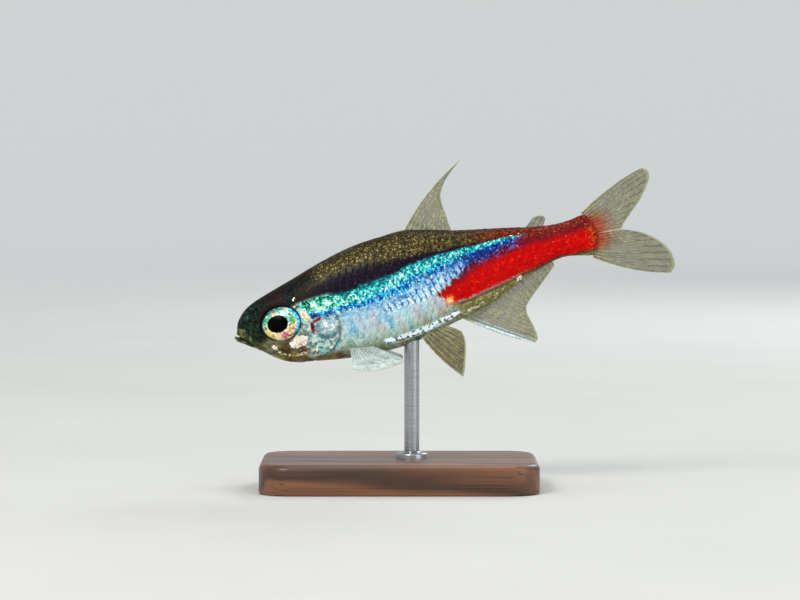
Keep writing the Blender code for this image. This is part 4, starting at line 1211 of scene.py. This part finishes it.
def gill_relief(station, height):
    """The gill cover, raised up to its rear edge, the slit behind that edge, and the low dome."""
    away, share, side = distance_to(GILL_SLIT, station, height)
    raised = 0.10 * ease(away, 0.0, 0.05) * bell(away, 0.9)
    slit = 0.13 * bell(away - 0.06, 0.07)
    at, up, long, tall = GILL_DOME
    dome = ((station - at) / long) ** 2 + ((height - up) / tall) ** 2
    return np.where(side < 0, raised, -slit) * fade_ends(share, 0.10, 0.85) + 0.085 * np.exp(-(dome**2))


def nostril_relief(station, height):
    """Two nostrils, each a pit with a raised ring."""
    relief = np.zeros(station.shape)
    for at, up, size in NOSTRILS:
        r = np.hypot(station - at, height - up) / size
        relief += 0.035 * bell(r - 1.25, 0.3) - 0.16 * bell(r, 0.75)
    return relief


def head_relief(station, height):
    """How far the skin stands out of the plain body, in millimetres. Most forms are bell curves of the
    distance to their line."""
    forms = (mouth_relief, bone_relief, gill_relief, nostril_relief)
    return sum(form(station, height) for form in forms)


def eye_axes(side):
    """The eye's middle on the skin and its three directions: to the rear, up, and out of the head."""
    point, normal = skin(np.array([EYE_AT[0]]), turn_at(np.array([EYE_AT[0]]), EYE_AT[1]))
    flip = np.array([1, side, 1])
    point, out = point[0] * flip, normal[0] * flip
    up = np.array([0.0, 0.0, 1.0]) - out[2] * out
    up /= np.linalg.norm(up)
    rear = np.cross(up, out)
    rear *= np.sign(rear[0])
    return point, rear, up, out


def skin_beside_eye(across, tall, side):
    """The plain skin's points that lie `across` towards the rear and `tall` up from the eye's middle,
    found by stepping the station and the height by what is still missing."""
    middle, rear, up, _ = eye_axes(1)
    wide, high = np.ravel(across), np.ravel(tall)
    station, height = EYE_AT[0] + wide, EYE_AT[1] + high
    for _ in range(8):
        points, _ = skin(station, turn_at(station, height))
        offset = points - middle
        station, height = station + wide - offset @ rear, height + high - offset @ up
    return (points * (1, side, 1)).reshape(*np.shape(across), 3)


def hollow_for_eyes(points):
    """Draws the skin in round each eye. By the share r of the eye's half width and half height it has a
    faint groove at 1.22 and a rolled rim at 1.09, goes under the eyeball between 1.06 and 0.92, and
    lies deep below it inside 0.72."""
    for side in (1, -1):
        middle, rear, up, out = eye_axes(side)
        offset = points - middle
        across, tall = offset @ rear / EYE_WIDE, offset @ up / EYE_TALL
        r = np.hypot(across, tall)
        near = (offset @ out > -1.6) & (np.sign(points[..., 1]) == -side)
        drop = -0.14 * ease(r, 1.06, 0.92) - 0.5 * ease(r, 0.94, 0.72)
        roll = (0.055 + 0.03 * np.clip(tall, -1, 1)) * bell(r - 1.09, 0.05)
        roll -= 0.03 * bell(r - 1.22, 0.06)
        points = points + ((drop + roll) * near)[..., None] * out
    return points


def skin_rows(turns):
    """The station of each point of the skin's grid: rows close together on the head and wider apart on
    the body, where the last ones bend with the wedge's rounded end."""
    head = SNOUT + (HEAD_END - SNOUT) * np.linspace(0, 1, HEAD_ROWS) ** 1.15
    body = np.linspace(HEAD_END, STALK_END + WEDGE, BODY_ROWS + 1)[1:]
    rows = np.concatenate([head, body])[:, None]
    return rows - WEDGE_ROUND * ease(rows, STALK_END - 2.5, STALK_END + WEDGE) * np.cos(turns) ** 2


def make_skin(finish):
    """The whole skin as one closed grid: raised by the head's relief, sunk under the scales, hollowed for the
    eyes, and closed to a point at either end."""
    turns = np.linspace(0, 2 * np.pi, AROUND, endpoint=False)[None, :]
    rows = skin_rows(turns)
    plain, _ = skin(rows, turns)
    station, height = plain[..., 0], plain[..., 2]
    lift = -COAT_DEPTH * ease(station, 7.9, 8.6)
    on_head = station[:, 0] < HEAD_END
    lift[on_head] += head_relief(station[on_head], height[on_head])
    lift *= ease(station, SNOUT, SNOUT + 0.12)
    lifted, _ = skin(rows, turns, lift)
    lifted = hollow_for_eyes(lifted)
    tip = lifted[0].mean(0) - (0.06, 0, 0)
    every = np.vstack([lifted.reshape(-1, 3), tip, lifted[-1].mean(0)])
    values = marking_values(np.vstack([plain.reshape(-1, 3), plain[0].mean(0), plain[-1].mean(0)]))
    values["fish"] = every
    along = (rows - UNWRAP_FROM) / UNWRAP_LONG
    unwrap = np.stack(np.broadcast_arrays(along, turns / (2 * np.pi)), -1).reshape(-1, 2)
    unwrap = np.vstack([unwrap, [0.02, 0.5], [0.97, 0.5]])
    faces = [quads_of(len(lifted), AROUND, around=True), *end_fans(len(lifted) * AROUND, AROUND)]
    made = piece("skin", set_in_pose(every), faces, finish, "flank_skin", unwrap, **values)
    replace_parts(made, "head", "lower_jaw", "trunk", "tail_stalk", "gill_cover_left", "gill_cover_right")


# Scales

def girth_table(rows=260, steps=181):
    """For each station, the length round the left side from back to belly, how much of it lies over the
    widest line, and the turn at each share of it."""
    stations = np.linspace(FIRST_SCALE - 1.0, STALK_END + WEDGE - 0.02, rows)
    turns = np.linspace(0, np.pi, steps)
    points, _ = skin(stations[:, None], turns[None, :])
    edges = np.linalg.norm(np.diff(points, axis=1), axis=2)
    lengths = np.concatenate([np.zeros((rows, 1)), np.cumsum(edges, 1)], 1)
    shares = np.linspace(0, 1, steps)
    table = np.array([np.interp(shares, line / line[-1], turns) for line in lengths])
    middle = np.array([np.interp(np.pi / 2, turns, line) for line in lengths])
    return stations, lengths[:, -1], middle, table


def turn_of(station, share, stations, table):
    """The turn at a share of the way from back to belly, running over either edge to the other side."""
    beyond = np.where(share < 0, -share, np.where(share > 1, 2 - share, share))
    r = np.clip((station - stations[0]) / (stations[1] - stations[0]), 0, len(stations) - 1.001)
    c = np.clip(beyond, 0, 1) * (table.shape[1] - 1.001)
    i, j = r.astype(int), c.astype(int)
    r, c = r - i, c - j
    found = (table[i, j] * (1 - r) * (1 - c) + table[i + 1, j] * r * (1 - c)
             + table[i, j + 1] * (1 - r) * c + table[i + 1, j + 1] * r * c)
    return np.where(share < 0, -found, np.where(share > 1, 2 * np.pi - found, found))


def scale_roots(stations, girth, middle):
    """Middles of the scales on one side: rows a pitch apart up and down from the widest line, every other one
    set back half a pitch, and rows dropped where the body narrows."""
    rng = np.random.default_rng(11)
    from_widest, first_station = np.array(SCALES_BEGIN).T
    spots = []
    for row in range(-ROWS_UP, ROWS_UP + 1):
        along = np.arange(FIRST_SCALE + (0.5 * SCALE_PITCH if row % 2 else 0), LAST_SCALE, SCALE_PITCH)
        depth = np.interp(along, stations, girth)
        pitch = ROW_PITCH * (depth / np.max(girth)) ** 0.45
        widest = np.interp(along, stations, middle)
        arc = widest + row * pitch
        keep = (arc > 0.15 * pitch) & (arc < depth - 0.15 * pitch)
        keep &= along > np.interp(np.abs(arc - widest), from_widest, first_station)
        spots.append(np.stack([along, arc, pitch, depth], -1)[keep])
    spots = np.vstack(spots)
    spots[:, 0] += rng.normal(0, SCALE_JITTER, len(spots))
    spots[:, 1] += rng.normal(0, SCALE_JITTER, len(spots))
    return spots, rng.random(len(spots))


def scale_plates(spots, chance, t, c, stations, table):
    """The plates of one side, top and underside, from shares t along and c across. The rear edge is the arc
    0.66 + 0.34 sqrt(1 - 0.98 c^2), and each plate is lifted by t, so that it overlaps the next."""
    at, arc, pitch, depth = (spots[:, i][:, None, None] for i in range(4))
    rear = 0.66 + 0.34 * np.sqrt(1 - 0.98 * c**2)
    size = np.clip(pitch / ROW_PITCH, 0.6, 1.0) ** 0.5
    along = at + SCALE_PITCH * SCALE_LONG * size * (t * rear - 0.45)
    across = arc + 0.5 * pitch * SCALE_WIDE * c * (0.80 + 0.20 * np.sin(np.pi * np.minimum(t, 0.9)))
    along = np.clip(along, FIRST_SCALE - 0.9, STALK_END + WEDGE - 0.05)
    turn = turn_of(along, across / depth, stations, table)
    along = np.minimum(along, STALK_END + WEDGE - 0.05 - WEDGE_ROUND * np.cos(turn) ** 2)
    wobble = 1 + 0.25 * (chance[:, None, None] - 0.5)
    calm = SCALE_CALM + (1 - SCALE_CALM) * ease(arc / depth, 0.42, 0.28)
    high = -SCALE_ROOT_DEPTH + calm * (SCALE_LIFT * t * wobble + SCALE_CROWN * (1 - c**2) * t)
    high = high * ease(along, STALK_END + WEDGE, STALK_END - 0.3)
    top, _ = skin(along, turn, high)
    low, _ = skin(along, turn, high - SCALE_THICK)
    return np.stack([top, low], 1)


def make_scales(finish):
    """The scales of each side as one mesh of closed plates. Each keeps its own chance, the dark of its
    edge, and a small patch of the skin's unwrap."""
    stations, girth, middle, table = girth_table()
    spots, chance = scale_roots(stations, girth, middle)
    t = (np.linspace(0, 1, SCALE_ROWS) ** 0.75)[None, :, None]
    c = np.sin(np.linspace(-1, 1, SCALE_COLUMNS) * np.pi / 2)[None, None, :]
    points = scale_plates(spots, chance, t, c, stations, table)
    at, arc, _, depth = (spots[:, i][:, None, None] for i in range(4))
    edge = ease(t * (0.55 + 0.45 * np.sqrt(1 - 0.9 * c**2)), 0.70, 0.98) + 0.0 * at
    edge = np.maximum(edge, ease(np.abs(c) * t, 0.55, 0.95))
    local = np.stack(np.broadcast_arrays(t - 0.5, c / 2), -1) * PATCH_ON_UNWRAP
    root = np.stack([(at - UNWRAP_FROM) / UNWRAP_LONG, arc / depth / 2], -1)
    unwrap = np.repeat((root + local)[:, None], 2, axis=1)
    faces = plate_faces(SCALE_ROWS, SCALE_COLUMNS, len(spots))
    ones = np.ones(points.shape[:-1])
    own = {"chance": ones * chance[:, None, None, None], "edge": ones * edge[:, None]}
    for name, side in (("scales_left", 1), ("scales_right", -1)):
        placed = points * (1, side, 1)
        shown = unwrap if side > 0 else unwrap * (1, -1) + (0, 1)
        piece(name, set_in_pose(placed), faces, finish, "flank_skin", shown, **marking_values(placed), **own)


# Eyes

def make_eye(word, side, finish):
    """An eyeball laid on the skin's own curve: across and up by half width and half height * sin(a),
    and out by the front or back depth * cos(a) less EYE_SAG * sin(a)^2, with a low lens over the pupil."""
    a = np.linspace(0.002, np.pi - 0.002, EYE_ROWS)[:, None]
    turn = np.linspace(0, 2 * np.pi, EYE_COLUMNS, endpoint=False)[None, :]
    across, tall = EYE_WIDE * np.sin(a) * np.cos(turn), EYE_TALL * np.sin(a) * np.sin(turn)
    pupil = np.hypot((across - PUPIL_AT[0]) / PUPIL_SIZE[0], (tall - PUPIL_AT[1]) / PUPIL_SIZE[1])
    front = a < np.pi / 2
    high = np.where(front, EYE_FRONT, EYE_BACK) * np.cos(a) - EYE_SAG * np.sin(a) ** 2
    high = high + np.where(front, LENS_RISE * ease(pupil, 1.3, 0.4), 0.0)
    _, _, _, out = eye_axes(side)
    points = skin_beside_eye(across, tall, side) + high[..., None] * out
    pupil = np.where(front, pupil, 9.0)
    rim = np.where(front, np.sin(a), 1.0) + 0 * turn
    values = {
        "iris": np.stack([pupil, rim, 0 * rim], -1),
        "eye_place": np.stack([across, tall, 0 * across], -1),
    }
    faces = tube_faces(EYE_ROWS, EYE_COLUMNS)
    made = piece(f"eyeball_{word}", set_in_pose(points), faces, finish, "eye", **values)
    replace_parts(made, f"eye_{word}")


# Fins

def fin_point(curves, c, t):
    """A fin's middle surface: on the ray at share c, from its root to its tip by t, bowed by 4 t (1 - t)."""
    start, end, bend = (along_curve(curve, c) for curve in curves)
    t = np.asarray(t)[..., None]
    return start + (end - start) * t + bend * 4 * t * (1 - t)


def fin_normal(curves):
    """The mean normal of a fin's surface."""
    c, t = np.meshgrid(np.linspace(0, 1, 9), np.linspace(0, 1, 9))
    grid = fin_point(curves, c, t)
    normal = np.cross(np.gradient(grid, axis=0), np.gradient(grid, axis=1)).sum((0, 1))
    return normal / np.linalg.norm(normal)


def flush_of(points):
    """How much of the tail's red runs out onto the middle rays of the tail fin."""
    station, height = points[..., 0], points[..., 2]
    return ease(station, 31.8, 29.2) * ease(np.abs(height - 0.1), 1.9, 0.8) * (station > 27)


def make_web(name, curves, rays, finish, node, thick=WEB_THICK, frayed=0.004, fringe=1.0):
    """The membrane as a closed thin plate that is drawn in a little between the tips of the rays."""
    columns = (rays - 1) * WEB_STEPS + 1
    c = np.linspace(0, 1, columns)[None, :] + np.zeros((WEB_ROWS, 1))
    vein = np.abs(np.cos(np.linspace(0, rays - 1, columns) * np.pi))[None, :] + np.zeros((WEB_ROWS, 1))
    t = np.linspace(0, 1, WEB_ROWS)[:, None] * (1 - frayed * (1 - vein))
    grid = fin_point(curves, c, t)
    half = fin_normal(curves) * (thick / 2 * (0.35 + 0.65 * vein) * (1 - 0.5 * t))[..., None]
    points = np.stack([grid + half, grid - half])
    web = np.stack([t, vein**6, fringe * ease(t, 0.30, 0.08)], -1)
    values = {"fish": points, "web": np.stack([web, web]), "flush": flush_of(points)}
    made = piece(name, set_in_pose(points), plate_faces(WEB_ROWS, columns), finish, "fin", **values)
    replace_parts(made, node)


def ray_parts(whole):
    """A ray's parts, each with its shift sideways at its start and its end: one whole part, or a stem that
    splits into two arms, and each of those into two twigs."""
    if whole:
        return [(WHOLE_RAY, 0.0, 0.0)]
    parts = [(STEM, 0.0, 0.0)]
    for arm in (-1, 1):
        parts.append((ARM, 0.0, arm * ARM_OUT))
        for twig in (-1, 1):
            parts.append((TWIG, arm * ARM_OUT, arm * TWIG_OUT + twig * TWIG_APART))
    return parts


def branch_paths(rays, lead, bulge):
    """The course of each ray's parts as shares (c, t), the radius at each ring, and whether the ray is
    a leading one. The first `lead` rays stay whole, and the first swells by `bulge` * sin(pi t^1.3)."""
    gap = 1 / (rays - 1)
    ring = np.linspace(0, 1, RAY_RINGS)
    courses, sizes, leads = [], [], []
    for ray in range(rays):
        swell = bulge * np.sin(np.pi * ring**1.3) if ray == 0 else 0
        for (low, high, thick, thin), from_c, to_c in ray_parts(ray < lead):
            spread = from_c + (to_c - from_c) * ease(ring, 0.0, 1.0)
            courses.append(np.stack([np.clip(ray * gap + spread * gap, 0, 1), low + (high - low) * ring], -1))
            sizes.append(thick + (thin - thick) * ring + swell)
            leads.append(float(ray < lead))
    return np.array(courses), np.array(sizes), np.array(leads)


def make_rays(name, curves, rays, finish, lead=1, size=1.0, bulge=0.0, white=0.0):
    """The rays as joined tubes of six sides, flattened towards the membrane, that follow the fin's
    surface."""
    courses, radius, leads = branch_paths(rays, lead, bulge)
    share, t = courses[..., 0], courses[..., 1]
    path = fin_point(curves, share, t)
    normal = fin_normal(curves)
    ahead = np.gradient(path, axis=1)
    ahead /= np.linalg.norm(ahead, axis=2, keepdims=True)
    side = np.cross(ahead, normal)
    side /= np.linalg.norm(side, axis=2, keepdims=True)
    a = np.linspace(0, 2 * np.pi, RAY_SIDES, endpoint=False)[None, None, :, None]
    r = (radius * size)[:, :, None, None]
    points = path[:, :, None] + r * (np.cos(a) * side[:, :, None] * 0.85 + np.sin(a) * normal * 1.15)
    reach = np.linalg.norm(path - fin_point(curves, share, 0 * t), axis=2)
    ray = np.stack([reach, t, (leads * white)[:, None] + 0 * t], -1)
    ray = np.repeat(ray[:, :, None], RAY_SIDES, axis=2)
    faces = tube_faces(RAY_RINGS, RAY_SIDES, len(points))
    piece(name, set_in_pose(points), faces, finish, "fin", fish=points, ray=ray, flush=flush_of(points))


def leaning(tips, out):
    """Side-view tips in space, the first ray's leaning out by `out` and the last's by half of it."""
    return [(x, out * part, z) for (x, z), part in zip(tips, np.linspace(1.0, 0.5, len(tips)))]


def sunk_root(stations, column):
    """A root line that runs inside the back or the belly, below the skin."""
    stations = np.linspace(*stations, 6)
    height = body_size(column, stations)
    return np.stack([stations, 0 * stations, height - np.sign(height) * ROOT_SUNK], 1)


def in_plane(points):
    """Points of the side view, set in the fish's middle plane."""
    return [(x, 0.0, z) for x, z in points]


def make_median_fins(web, rays):
    """The dorsal and anal fins with their rays, and the adipose fin, a thicker fold without rays."""
    dorsal = (sunk_root(DORSAL_ROOT, BACK), leaning(DORSAL_TIPS, DORSAL_LEAN), in_plane(DORSAL_BOW))
    make_web("dorsal_membrane", dorsal, DORSAL_RAYS, web, "dorsal_fin")
    make_rays("dorsal_rays", dorsal, DORSAL_RAYS, rays, lead=2)
    anal = (sunk_root(ANAL_ROOT, BELLY), leaning(ANAL_TIPS, ANAL_LEAN), in_plane(ANAL_BOW))
    make_web("anal_membrane", anal, ANAL_RAYS, web, "anal_fin")
    make_rays("anal_rays", anal, ANAL_RAYS, rays, lead=2, bulge=ANAL_LEAD_SWELLS, white=1.0)
    adipose = (sunk_root(ADIPOSE_ROOT, BACK), in_plane(ADIPOSE_TIPS), in_plane(STRAIGHT))
    make_web("adipose_fin_skin", adipose, ADIPOSE_FOLDS, web, "adipose_fin", thick=ADIPOSE_THICK, frayed=0.0)


def make_tail_fin(web, rays):
    """The two lobes, swung out by TAIL_SWING times the square of the way to the tips."""
    for name, root, tips, bow in (
        ("upper", UPPER_ROOT, UPPER_TIPS, UPPER_BOW),
        ("lower", LOWER_ROOT, LOWER_TIPS, LOWER_BOW),
    ):
        line = [(TAIL_ROOT, 0.0, height) for height in root]
        swung = [(x, TAIL_SWING * ((x - TAIL_FROM) / (TAIL_TO - TAIL_FROM)) ** 2, z) for x, z in tips]
        curves = (line, swung, in_plane(bow))
        if name == "lower":
            curves = tuple(list(curve)[::-1] for curve in curves)
        make_web(f"tail_{name}_membrane", curves, TAIL_RAYS, web, f"caudal_fin_{name}", fringe=0.3)
        make_rays(f"tail_{name}_rays", curves, TAIL_RAYS, rays, size=0.85)


def make_paired_fins(pale_web, pale_rays, web, rays):
    """The pectoral and pelvic fins, from roots sunk ROOT_SUNK into the skin, and mirrored for the right
    side."""
    for kind, root, tips, count, bow, size, film, bone in (
        ("pectoral", PECTORAL_ROOT, PECTORAL_TIPS, PECTORAL_RAYS, STRAIGHT, 0.75, pale_web, pale_rays),
        ("pelvic", PELVIC_ROOT, PELVIC_TIPS, PELVIC_RAYS, PELVIC_BOW, 0.9, web, rays),
    ):
        stations, heights = np.array(root).T
        under, _ = skin(stations, turn_at(stations, heights), -ROOT_SUNK)
        for side, word in ((1, "left"), (-1, "right")):
            ends = [(x, -side * out, z) for x, z, out in tips]
            curves = (under * (1, side, 1), ends, in_plane(bow))
            make_web(f"{kind}_membrane_{word}", curves, count, film, f"{kind}_fin_{word}")
            make_rays(f"{kind}_rays_{word}", curves, count, bone, size=size)


# Stand

def make_base(finish):
    """A slab on a rounded rectangle: the outline shrinks by each inset of its edge profile, a quarter round
    above and a small one at the foot."""
    long, wide, tall = BASE_SIZE
    arc = np.linspace(0, np.pi / 2, 10)
    corner = np.stack([np.cos(arc), np.sin(arc)], 1)
    outline, outward = [], []
    for quarter, (sx, sy) in enumerate([(1, 1), (-1, 1), (-1, -1), (1, -1)]):
        c, s = math.cos(quarter * math.pi / 2), math.sin(quarter * math.pi / 2)
        spin = corner @ np.array([[c, s], [-s, c]])
        outline.append(spin * BASE_CORNER + (sx * (long / 2 - BASE_CORNER), sy * (wide / 2 - BASE_CORNER)))
        outward.append(spin)
    outline, outward = np.vstack(outline), np.vstack(outward)
    bend = np.linspace(0, np.pi / 2, 8)
    profile = [(BASE_FOOT_ROUND * (1 - math.sin(b)), BASE_FOOT_ROUND * (1 - math.cos(b))) for b in bend]
    profile += [(BASE_ROUND * (1 - math.cos(b)), tall - BASE_ROUND * (1 - math.sin(b))) for b in bend]
    profile += [(inset, tall) for inset in BASE_TOP_INSETS]
    columns = len(outline)
    rings = [np.column_stack([outline - outward * inset, np.full(columns, z)]) for inset, z in profile]
    made = piece("stand_base_walnut", np.array(rings) * MM, tube_faces(len(profile), columns), finish, "wood")
    made.data.set_sharp_from_angle(angle=math.radians(50))
    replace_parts(made, "stand_base")


def turned(name, profile, finish, columns=48):
    """A profile of (radius, height) spun round the rod's axis, closed at both ends."""
    turn = np.linspace(0, 2 * np.pi, columns, endpoint=False)[None, :]
    radius, height = (np.array(profile)[:, i][:, None] for i in (0, 1))
    points = np.stack([ROD_AHEAD + radius * np.cos(turn), radius * np.sin(turn), height + 0 * turn], -1)
    made = piece(name, points * MM, tube_faces(len(profile), columns), finish, "steel")
    made.data.set_sharp_from_angle(angle=math.radians(40))
    return made


def make_stand(walnut, steel):
    """The base, the rod up into the belly, and a ferrule with a rounded shoulder at the rod's foot."""
    make_base(walnut)
    top = BASE_SIZE[2]
    rod = [(ROD_RADIUS, top - 0.3), (ROD_RADIUS, top + 0.2)]
    rod += [(ROD_RADIUS, z) for z in np.linspace(top + 0.6, BELLY_HEIGHT - 0.4, 6)]
    rod += [(ROD_RADIUS, BELLY_HEIGHT + 0.35), (ROD_RADIUS - 0.1, BELLY_HEIGHT + 0.45)]
    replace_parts(turned("stand_rod_steel", rod, steel), "stand_rod")
    shoulder, flat = top + FERRULE_TALL, FERRULE_RADIUS - FERRULE_ROUND
    ferrule = [(FERRULE_RADIUS, top - 0.1), (FERRULE_RADIUS, shoulder)]
    for b in np.linspace(0, np.pi / 2, 7)[1:]:
        ferrule.append((flat + FERRULE_ROUND * math.cos(b), shoulder + FERRULE_ROUND * math.sin(b)))
    ferrule += [(0.82, top + 0.45), (0.70, top + 0.55), (0.60, top + 0.58)]
    turned("stand_ferrule", ferrule, steel)


# Studio

def make_stage():
    """A pale round floor that curves up all round into a wall, as a profile spun about the middle."""
    profile = [(0.002, 0.0), (0.1, 0.0), (0.3, 0.0), (FLOOR_FLAT, 0.0)]
    for b in np.linspace(0, np.pi / 2, 20)[1:]:
        profile.append((FLOOR_FLAT + FLOOR_BEND * math.sin(b), FLOOR_BEND - FLOOR_BEND * math.cos(b)))
    profile += [(FLOOR_FLAT + FLOOR_BEND, FLOOR_BEND + 0.01)]
    turn = np.linspace(0, 2 * np.pi, 96, endpoint=False)
    points = [(r * math.cos(t), r * math.sin(t), z) for r, z in profile for t in turn]
    faces = quads_of(len(profile), len(turn), around=True).tolist() + [list(range(len(turn)))]
    mesh = bpy.data.meshes.new("backdrop")
    mesh.from_pydata(points, [], faces)
    mesh.shade_smooth()
    backdrop = bpy.data.objects.new("backdrop", mesh)
    bpy.context.scene.collection.objects.link(backdrop)
    made, n, shader = material("backdrop_paper", Specular_IOR_Level=0.1, Roughness=0.9)
    place = n.add("TexCoord").outputs["Object"]
    paper = n.ramp(n.noise(place, 40.0, 3.0), (0.3, "C2C2BE"), (0.7, "C6C6C2"))
    away = n.add("VectorMath", (place,), operation="LENGTH").outputs["Value"]
    # Painted light: the paper turns from grey near the middle to white towards the wall, which brightens the
    # wall.
    n.set_inputs(shader, Base_Color=n.mix(n.step(away, 0.10, 0.60), paper, "FEFEFC"))
    mesh.materials.append(made)


def area_light(name, place, size, power, colour):
    """A lamp of that size, in metres, aimed at the fish."""
    lamp = bpy.data.lights.new(name, "AREA")
    lamp.shape, lamp.size, lamp.size_y = "RECTANGLE", size[0], size[1]
    lamp.energy, lamp.color = power, colour
    made = bpy.data.objects.new(name, lamp)
    bpy.context.scene.collection.objects.link(made)
    made.location = place
    toward = np.array(AIM) - np.array(place)
    toward /= np.linalg.norm(toward)
    made.rotation_euler = (math.acos(-toward[2]), 0.0, math.atan2(-toward[0], toward[1]))


def make_lights():
    """Four lamps and a pale sky."""
    world = bpy.data.worlds.new("studio")
    bpy.context.scene.world = world
    world.use_nodes = True
    sky = world.node_tree.nodes["Background"]
    sky.inputs["Color"].default_value = paint(SKY)
    sky.inputs["Strength"].default_value = SKY_STRENGTH
    for lamp in LAMPS:
        area_light(*lamp)


def make_camera():
    """A long lens at the photo's viewing angle: its lens makes the picture as wide as the photo is at
    the fish."""
    data = bpy.data.cameras.new("camera")
    data.sensor_width = SENSOR
    data.lens = SENSOR * CAMERA_AWAY * PX_PER_MM / PICTURE_WIDTH
    data.clip_start, data.clip_end = 0.01, 10.0
    camera = bpy.data.objects.new("camera", data)
    bpy.context.scene.collection.objects.link(camera)
    x, y, z = PICTURE_MIDDLE
    near, high = y - CAMERA_AWAY * math.cos(CAMERA_UP), z + CAMERA_AWAY * math.sin(CAMERA_UP)
    camera.location = (x * MM, near * MM, high * MM)
    camera.rotation_euler = (math.pi / 2 - CAMERA_UP, 0.0, 0.0)
    bpy.context.scene.camera = camera


make_camera()
markings = markings_group(speckle_group())
make_skin(marked_material("wet_skin", markings, 0.012, on_scales=False))
make_scales(marked_material("wet_scales", markings, 0.008, on_scales=True))
iris = eye_material()
make_eye("left", 1, iris)
make_eye("right", -1, iris)
membrane = web_material("fin_membrane", ("3C3A18", "5E5A28", "807C42"), 0.43)
milky = web_material("pectoral_membrane", ("98B0B0", "C4D4D0", "ECF4F0"), 0.36)
bony = ray_material("fin_rays", ("8E8A5C", "B8B484", "DAD6AC"), 0.30)
milky_bone = ray_material("pectoral_rays", ("A8BEBE", "C6D4D0", "E4ECE8"), 0.08)
make_median_fins(membrane, bony)
make_tail_fin(membrane, bony)
make_paired_fins(milky, milky_bone, membrane, bony)
make_stand(walnut_material(), steel_material())
make_stage()
make_lights()
bpy.context.scene.view_settings.view_transform = "Standard"
